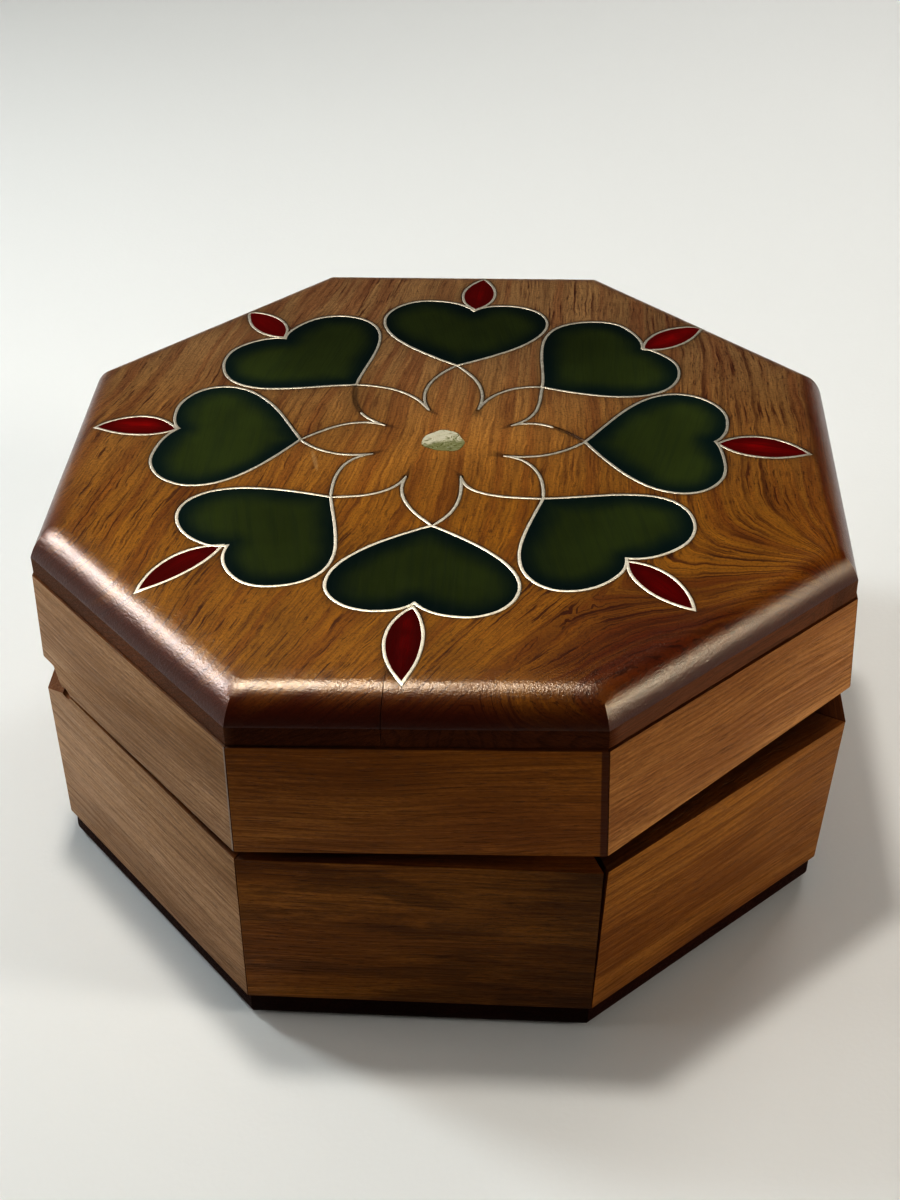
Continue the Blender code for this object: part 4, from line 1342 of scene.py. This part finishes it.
class BoardMesh:
    """The mesh of the lid's board, with the stain and painted shade and the reach of each of its corners."""

    def __init__(self):
        self.mesh = bmesh.new()
        self.stain_and_shade_values = []
        self.reaches = []

    def add(self, x, y, z, stain, reach):
        """Add one corner."""
        self.stain_and_shade_values.append(stain)
        self.reaches.append(reach)
        return self.mesh.verts.new((x, y, z))

    def add_top(self, columns):
        """Add the top with its pockets, and return the corners along its outer loop."""
        segments = segments_of(wire_paths())
        corners, triangles = board_sheet(segments, columns)
        hollow = in_pockets(np.array([corners[triangle].mean(0) for triangle in triangles]), segments)
        from_wire = distances(corners, segments) - half_wire()
        from_crack = distances(corners, segments_of([([Vector(point) for point in CRACK_LINE], False)]))
        from_empty = distances(corners, segments_of(empty_grooves()))
        raised, sunk = {}, {}
        for face, low in zip(triangles, hollow):
            for index in face:
                x, y = corners[index]
                level = top_level(x, y)
                if low and index not in sunk:
                    # Pocket floors are painted fully dark and empty grooves partly dark, as painted shade in the
                    # gaps and grooves.
                    is_empty = from_empty[index] < 2 * half_wire()
                    depth, stain = (EMPTY_DEPTH, EMPTY_STAIN_AND_SHADE) if is_empty else (POCKET_DEPTH, 1.0)
                    sunk[index] = self.add(x, y, level - depth, stain, 0.0)
                elif not low and index not in raised:
                    in_crack = from_crack[index] < 0.02 and y < CRACK_LINE[0][1] - 0.3
                    raised[index] = self.add(x, y, level - (CRACK_DEPTH if in_crack else 0.0),
                                             stain_and_shade_beside(from_wire[index], from_crack[index], in_crack),
                                             reach_of(Vector((x, y))))
        edges = {}
        for face, low in zip(triangles, hollow):
            table = sunk if low else raised
            self.mesh.faces.new([table[index] for index in face])
            if not low:
                edges.update(dict.fromkeys(zip(face, face[1:] + face[:1])))
        for a, b in edges:
            if (b, a) not in edges and a in sunk and b in sunk:
                self.mesh.faces.new((raised[b], raised[a], sunk[a], sunk[b]))
        lookup = {(round(corners[i][0], 3), round(corners[i][1], 3)): vert for i, vert in raised.items()}
        return [lookup[(round(point.x, 3), round(point.y, 3))] for point in ring_points(SHEET_APOTHEM, columns)]

    def add_edge(self, above, columns, crack_at):
        """Hang the rows of the rounded edge and the band from the top, and close the underside."""
        for apothem, level in board_profile():
            row = []
            for index, point in enumerate(ring_points(apothem, columns)):
                in_crack = index == crack_at
                wobble = 1.0 + 0.0008 * wave(point, 0.06, 0.06, 1.0)
                pull = (1.0 - CRACK_DEPTH / apothem) if in_crack else 1.0
                sink = CRACK_DEPTH * 0.6 if in_crack and level > BAND_TOP else 0.0
                stain = CRACK_STAIN if in_crack else 0.2 if abs(index - crack_at) == 1 else 0.0
                row.append(self.add(point.x * wobble * pull, point.y * wobble * pull,
                                    level + ripple(point.x, point.y) - sink, stain,
                                    apothem + max(0.0, BAND_TOP - level)))
            for i in range(len(row)):
                j = (i + 1) % len(row)
                self.mesh.faces.new((row[i], row[j], above[j], above[i]))
            above = row
        self.mesh.faces.new(above[::-1])


def build_lid_board():
    """Build the lid's board: top with pockets, rounded edge, band and underside."""
    columns, front, crack_share = side_columns()
    crack_at = sum(len(columns[side]) for side in range(front)) + columns[front].index(crack_share)
    board = BoardMesh()
    board.add_edge(board.add_top(columns), columns, crack_at)
    bmesh.ops.recalc_face_normals(board.mesh, faces=board.mesh.faces)
    obj = mesh_object("lid_board_look", board.mesh)
    places = [vertex.co.copy() for vertex in obj.data.vertices]
    vector_field(obj, "grain", [(place.y, board_figure(place), place.z - BOARD_TOP) for place in places])
    vector_field(obj, "plan", [(place.x, place.y, place.z - BOARD_TOP) for place in places])
    mark_field(obj, "stain", board.stain_and_shade_values)
    mark_field(obj, "reach", board.reaches)
    woods = (top_finish(), wall_finish("lid_band_wood", BAND_LIGHT, BAND_DARK, pith=(10.0, -20.0), spacing=1.6,
                                       gloss=0.04, band=True))

    def choose(face):
        """Pick the polished top, or the dull wood of the band and underside."""
        return 1 if face.center.z < BAND_TOP - 0.1 else 0

    finish_piece(obj, woods, "lid", "lid_board", smooth_deg=30.0, choose=choose)


# ---------------------------------------------------------------- inlay

# The net of points of an inlay, how far it lies below the wood and under its wire, and
# how thick a wire stands over the wood across its width.
PLATE_ROWS = (0.35, 0.9, 1.8, 3.0)
PLATE_CLEARANCE = 3.6
PLATE_SINK = 0.012
PLATE_OVERLAP = 0.02
WIRE_PROFILE = ((-1.0, -WIRE_DEPTH), (-1.0, -0.05), (-0.86, 0.015), (-0.5, 0.05), (0.0, 0.062),
                (0.5, 0.05), (0.86, 0.015), (1.0, -0.05), (1.0, -WIRE_DEPTH))
END_SHARE = 0.55
END_SINK = 0.05


def rim_of(mesh):
    """Return the corners round the single border of a flat mesh, anticlockwise."""
    following = {}
    for edge in mesh.edges:
        if edge.is_boundary:
            start = edge.link_loops[0]
            following[start.vert] = start.link_loop_next.vert
    rim = [next(iter(following))]
    while following[rim[-1]] != rim[0]:
        rim.append(following[rim[-1]])
    if len(rim) != len(following):
        raise ValueError("an inlay has more than one border")
    return rim


def inlay_plate(node, outline, bed, finish, grain_turn, step):
    """Build one flat inlay with a fine net of points and its depth from the wire.

    bed is how far it reaches beyond its outline, grain_turn the direction of its grain
    and step the distance between the points of the net.
    """
    border = segments_of([(outline, True)])
    loop = offset_loop(outline, bed)
    net = np.array([(point.x, point.y, distance - bed) for distance in PLATE_ROWS
                    for point in offset_loop(outline, bed - distance)])
    net = net[distances(net[:, :2], border) > net[:, 2] * 0.9][:, :2]
    low = (min(point.x for point in loop), min(point.y for point in loop))
    high = (max(point.x for point in loop), max(point.y for point in loop))
    middle = net_points(low, high, step)
    points = np.vstack((net, middle[distances(middle, border) > PLATE_CLEARANCE]))
    corners, triangles = triangulate([loop], [], points[inside(points, loop)])
    kept = inside(np.array([corners[triangle].mean(0) for triangle in triangles]), loop)
    mesh = bmesh.new()
    verts = [mesh.verts.new((x, y, top_level(x, y) - PLATE_SINK)) for x, y in corners]
    for face, keep in zip(triangles, kept):
        if keep:
            mesh.faces.new([verts[index] for index in face])
    depths = [depth for vert, depth in zip(verts, distances(corners, border)) if vert.link_faces]
    bmesh.ops.delete(mesh, geom=[vert for vert in verts if not vert.link_faces], context="VERTS")
    rim = rim_of(mesh)
    under = [mesh.verts.new(vert.co - UP * INLAY_DEPTH) for vert in rim]
    for i in range(len(rim)):
        mesh.faces.new((rim[i], rim[i - 1], under[i - 1], under[i]))
    mesh.faces.new(under[::-1])
    depths += [0.0] * len(under)
    obj = mesh_object(node + "_look", mesh)
    turn = polar(grain_turn).to_3d()
    first = outline[0]
    grain_field(obj, turn, Vector((-turn.y, turn.x, 0.0)), UP,
                (first.x * 7.0, first.y * 5.0, first.x * 3.0 - BOARD_TOP))
    mark_field(obj, "depth", depths)
    finish_piece(obj, (finish,), "lid", node)


def wire_mesh(path, closed, mesh, lower):
    """Add one wire with a worn, rounded top, set lower by a little, to a mesh."""
    rows = []
    for index, (point, step) in enumerate(zip(path, path_offsets(path, closed))):
        wear = wave(point, 0.45, 0.45, 2.0)
        sway = wave(point, 0.30, 0.30, 7.0) * 0.07
        width = half_wire() * (0.97 + 0.16 * wear)
        at_end = not closed and index in (0, len(path) - 1)
        row = []
        for across, level in WIRE_PROFILE:
            place = point + step * (across * width * (END_SHARE if at_end else 1.0) + sway)
            if level > -WIRE_DEPTH:
                level = level + 0.02 * wear - lower - (END_SINK if at_end else 0.0)
            row.append(mesh.verts.new((place.x, place.y, top_level(place.x, place.y) + level)))
        rows.append(row)
    count = len(WIRE_PROFILE)
    for row, after in zip(rows, rows[1:] + rows[:1] if closed else rows[1:]):
        for i in range(count):
            j = (i + 1) % count
            mesh.faces.new((row[i], row[j], after[j], after[i]))
    if not closed:
        mesh.faces.new(rows[0])
        mesh.faces.new(rows[-1][::-1])


def make_wire(node, paths, lower):
    """Build one piece of wire along one or more paths, each with whether it is closed."""
    mesh = bmesh.new()
    for path, closed in paths:
        wire_mesh(path, closed, mesh, lower)
    bmesh.ops.recalc_face_normals(mesh, faces=mesh.faces)
    obj = mesh_object(node + "_look", mesh)
    grain_field(obj, RIGHT, BACK, UP, (0, 0, 0))
    material = bpy.data.materials.get("worn_wire") or wire_finish()
    finish_piece(obj, (material,), "lid", node, smooth_deg=50.0)


def build_hearts():
    """Build the eight green hearts and the wires round them."""
    green = tuple(inlay_settings().green)
    material = inlay_finish("green_inlay", green, GREEN_EDGE, 0.16, shade(green, 1.15), 0.72)
    for index, name in enumerate(HEARTS):
        outline = heart_outline(name)
        inlay_plate("heart_" + name, outline, PLATE_OVERLAP - half_wire(), material,
                    90.0 + 14.0 * math.sin(index * 2.1), 2.4)
        make_wire("heart_wire_" + name, [(outline, True)], 0.0)


def build_leaves():
    """Build the eight red leaves and the wires round them."""
    red = tuple(inlay_settings().red)
    material = inlay_finish("red_inlay", red, shade(red, 0.35), 0.6, shade(red, 1.5), 1.15)
    for name, (inner, outer, *_) in LEAVES.items():
        outline = leaf_outline(name)
        run = Vector(outer) - Vector(inner)
        inlay_plate("leaf_" + name, outline, PLATE_OVERLAP - half_wire(), material,
                    math.degrees(math.atan2(run.y, run.x)), 1.4)
        make_wire("leaf_wire_" + name, [(outline, True)], 0.012)


def build_strands():
    """Build the wires that run from the hearts' points and meet in cusps."""
    for name, neighbour in heart_pairs():
        paths = []
        for heart, side in ((name, "left"), (neighbour, "right")):
            path = strand(heart, name, side)
            if (heart, side) in LOST_WIRE:
                path = keep_part(path[::-1], LOST_WIRE[heart, side])[::-1]
            paths.append((path, False))
        make_wire("strand_wire_" + name, paths, 0.01)


def build_shell():
    """Build the worn disc of shell in the middle."""
    inlay_plate("centre_shell", shell_outline(), -0.01, shell_finish(), 20.0, 0.8)


# ---------------------------------------------------------------- stage

# Brightness of the room by height: pale behind the floor, dark above it, a bright ceiling.
SKY_LEVELS = ((0.0, 0.40), (0.30, 0.35), (0.46, 0.12), (0.70, 0.04), (0.82, 0.10), (1.0, 0.10))
ROOM_LEFT = (1.0, 0.97, 0.91)
ROOM_RIGHT = (1.0, 0.88, 0.62)

# Lamps that light the box: place, size, the setting of their power, colour.
LIGHTS = {
    "left_light": ((-0.435, 0.125, 0.475), 0.09, "key_power", (0.86, 0.95, 1.0)),
    "over_light": ((-0.077, 0.029, 0.670), 0.05, "over_power", (1.0, 0.97, 0.92)),
    "low_left_light": ((-0.88, -0.09, 0.20), 0.40, "low_power", (0.95, 0.98, 1.0)),
    "right_light": ((0.851, -0.198, 0.230), 0.20, "side_power", (1.0, 0.96, 0.90)),
    "ceiling_light": ((0.0, 0.10, 1.50), 1.60, "ceiling_power", (1.0, 0.98, 0.94)),
    "back_light": ((0.38, 0.66, 0.90), 0.30, "back_power", (1.0, 1.0, 1.0)),
}
# Lamps that are only seen mirrored: place, size, share of the power, colour.
SHINES = {
    "left_shine": ((-0.520, 0.103, 0.383), 0.24, 4.1, (1.0, 0.96, 0.93)),
    "over_shine": ((-0.185, 0.055, 0.650), 0.22, 6.2, (1.0, 0.88, 0.72)),
    "right_shine": ((0.705, -0.215, 0.350), 0.05, 2.6, (1.0, 0.90, 0.68)),
}
# What the lamps aim at, and the aim and spread of the lamp that lights the floor behind.
BOX_AIM = (0.0, 0.0, 0.05)
OWN_AIMS = {"back_light": ((0.24, 0.45, 0.0), math.radians(80.0))}

CAMERA_PLACE = (0.0141, -0.3144, 0.2813)
CAMERA_TURN = (0.9215, -0.0158, 0.0567)
CAMERA_LENS = 58.4
CAMERA_SENSOR = 36.0
CAMERA_RANGE = (0.01, 20.0)
FLOOR_HALF_WIDTH = 2.5


def area_light(name, place, size, power, colour, shine):
    """Add a soft square lamp: one that lights the box, or one that is only seen mirrored."""
    data = bpy.data.lights.new(name, "AREA")
    data.shape = "SQUARE"
    data.size = size
    data.energy = power
    data.color = colour
    obj = bpy.data.objects.new(name, data)
    bpy.context.scene.collection.objects.link(obj)
    aim, data.spread = OWN_AIMS.get(name, (BOX_AIM, data.spread))
    obj.location = place
    obj.rotation_euler = (Vector(place) - Vector(aim)).to_track_quat("Z", "Y").to_euler()
    obj.visible_diffuse = not shine
    obj.visible_glossy = shine


def room_world(sky):
    """Return the soft light from all round, stronger from the back and warmer from the right."""
    world = bpy.data.worlds.new("room")
    world.use_nodes = True
    room = Nodes(world.node_tree)
    x, y, z = room.parts(room.node("ShaderNodeTexCoord").outputs["Generated"])
    ramp = room.node("ShaderNodeValToRGB", {"Fac": z})
    for place, _ in SKY_LEVELS[2:]:
        ramp.color_ramp.elements.new(place)
    for element, (place, level) in zip(ramp.color_ramp.elements, SKY_LEVELS):
        element.position = place
        element.color = (level, level, level, 1.0)
    strength = room.times(room.times(ramp.outputs["Color"], room.spread(y, -0.5, 0.3, 0.10, 1.0)), sky)
    tint = room.blend(room.spread(x, 0.0, 0.7, 0.0, 1.0, False), ROOM_LEFT, ROOM_RIGHT)
    background = room.tree.nodes["Background"]
    room.put(background.inputs["Strength"], strength)
    room.put(background.inputs["Color"], tint)
    return world


def build_stage():
    """Set up the floor, the lights and the camera."""
    scene = bpy.context.scene
    settings = scene.inlaid_box_stage
    mesh = bmesh.new()
    bmesh.ops.create_grid(mesh, x_segments=8, y_segments=8, size=FLOOR_HALF_WIDTH)
    floor = mesh_object("floor", mesh)
    floor.data.materials.append(floor_finish(tuple(settings.floor)))

    for name, (place, size, power, colour) in LIGHTS.items():
        area_light(name, place, size, getattr(settings, power), colour, False)
    for name, (place, size, share, colour) in SHINES.items():
        area_light(name, place, size, settings.shine * share, colour, True)
    scene.world = room_world(settings.sky)

    data = bpy.data.cameras.new("camera")
    data.lens = CAMERA_LENS
    data.sensor_width = CAMERA_SENSOR
    data.sensor_fit = "AUTO"
    data.clip_start, data.clip_end = CAMERA_RANGE
    camera = bpy.data.objects.new("camera", data)
    camera.location = CAMERA_PLACE
    camera.rotation_euler = Euler(CAMERA_TURN, "XYZ")
    scene.collection.objects.link(camera)
    scene.camera = camera
    scene.view_settings.view_transform = "Standard"
    scene.view_settings.look = "High Contrast"


# ---------------------------------------------------------------- add-on

class INLAIDBOX_OT_base_walls(Operator):
    """Build the eight walls of the base"""
    bl_idname = "inlaid_box.base_walls"
    bl_label = "Base Walls"

    def execute(self, context):
        build_base_walls()
        return {"FINISHED"}


class INLAIDBOX_OT_bottom_board(Operator):
    """Build the bottom board"""
    bl_idname = "inlaid_box.bottom_board"
    bl_label = "Bottom Board"

    def execute(self, context):
        build_bottom()
        return {"FINISHED"}


class INLAIDBOX_OT_hinge_pin(Operator):
    """Build the pin of the hinge"""
    bl_idname = "inlaid_box.hinge_pin"
    bl_label = "Hinge Pin"

    def execute(self, context):
        build_pin()
        return {"FINISHED"}


class INLAIDBOX_OT_lid_walls(Operator):
    """Build the eight walls of the lid"""
    bl_idname = "inlaid_box.lid_walls"
    bl_label = "Lid Walls"

    def execute(self, context):
        build_lid_walls()
        return {"FINISHED"}


class INLAIDBOX_OT_lid_board(Operator):
    """Build the lid's board with its pockets and rounded edge"""
    bl_idname = "inlaid_box.lid_board"
    bl_label = "Lid Board"

    def execute(self, context):
        build_lid_board()
        return {"FINISHED"}


class INLAIDBOX_OT_hearts(Operator):
    """Build the green hearts and their wires"""
    bl_idname = "inlaid_box.hearts"
    bl_label = "Hearts"

    def execute(self, context):
        build_hearts()
        return {"FINISHED"}


class INLAIDBOX_OT_leaves(Operator):
    """Build the red leaves and their wires"""
    bl_idname = "inlaid_box.leaves"
    bl_label = "Leaves"

    def execute(self, context):
        build_leaves()
        return {"FINISHED"}


class INLAIDBOX_OT_strands(Operator):
    """Build the wire strands that meet in cusps"""
    bl_idname = "inlaid_box.strands"
    bl_label = "Strands"

    def execute(self, context):
        build_strands()
        return {"FINISHED"}


class INLAIDBOX_OT_shell(Operator):
    """Build the disc of shell in the middle"""
    bl_idname = "inlaid_box.shell"
    bl_label = "Shell Disc"

    def execute(self, context):
        build_shell()
        return {"FINISHED"}


class INLAIDBOX_OT_stage(Operator):
    """Set up the floor, the lights and the camera"""
    bl_idname = "inlaid_box.stage"
    bl_label = "Stage"

    def execute(self, context):
        build_stage()
        return {"FINISHED"}


OPERATORS = (
    INLAIDBOX_OT_bottom_board,
    INLAIDBOX_OT_base_walls,
    INLAIDBOX_OT_hinge_pin,
    INLAIDBOX_OT_lid_walls,
    INLAIDBOX_OT_lid_board,
    INLAIDBOX_OT_hearts,
    INLAIDBOX_OT_leaves,
    INLAIDBOX_OT_strands,
    INLAIDBOX_OT_shell,
    INLAIDBOX_OT_stage,
)


class INLAIDBOX_PT_pieces(Panel):
    """List the pieces of the box and the settings they are made from."""
    bl_idname = "INLAIDBOX_PT_pieces"
    bl_label = "Inlaid Box"
    bl_space_type = "VIEW_3D"
    bl_region_type = "UI"
    bl_category = "Inlaid Box"

    def draw(self, context):
        layout = self.layout
        for operator in OPERATORS:
            layout.operator(operator.bl_idname)
        scene = context.scene
        for group in (scene.inlaid_box_wood, scene.inlaid_box_inlay, scene.inlaid_box_stage):
            column = layout.column()
            for key in group.bl_rna.properties.keys():
                if key not in ("rna_type", "name"):
                    column.prop(group, key)


CLASSES = (BoxWoodSettings, BoxInlaySettings, BoxStageSettings, *OPERATORS, INLAIDBOX_PT_pieces)


def register():
    """Register the settings, the operators and the panel."""
    for item in CLASSES:
        bpy.utils.register_class(item)
    bpy.types.Scene.inlaid_box_wood = PointerProperty(type=BoxWoodSettings)
    bpy.types.Scene.inlaid_box_inlay = PointerProperty(type=BoxInlaySettings)
    bpy.types.Scene.inlaid_box_stage = PointerProperty(type=BoxStageSettings)


def unregister():
    """Take the settings, the operators and the panel away again."""
    del bpy.types.Scene.inlaid_box_stage
    del bpy.types.Scene.inlaid_box_inlay
    del bpy.types.Scene.inlaid_box_wood
    for item in reversed(CLASSES):
        bpy.utils.unregister_class(item)


def main():
    """Build everything in order."""
    register()
    for operator in OPERATORS:
        group, name = operator.bl_idname.split(".")
        getattr(getattr(bpy.ops, group), name)()


if __name__ == "__main__":
    main()
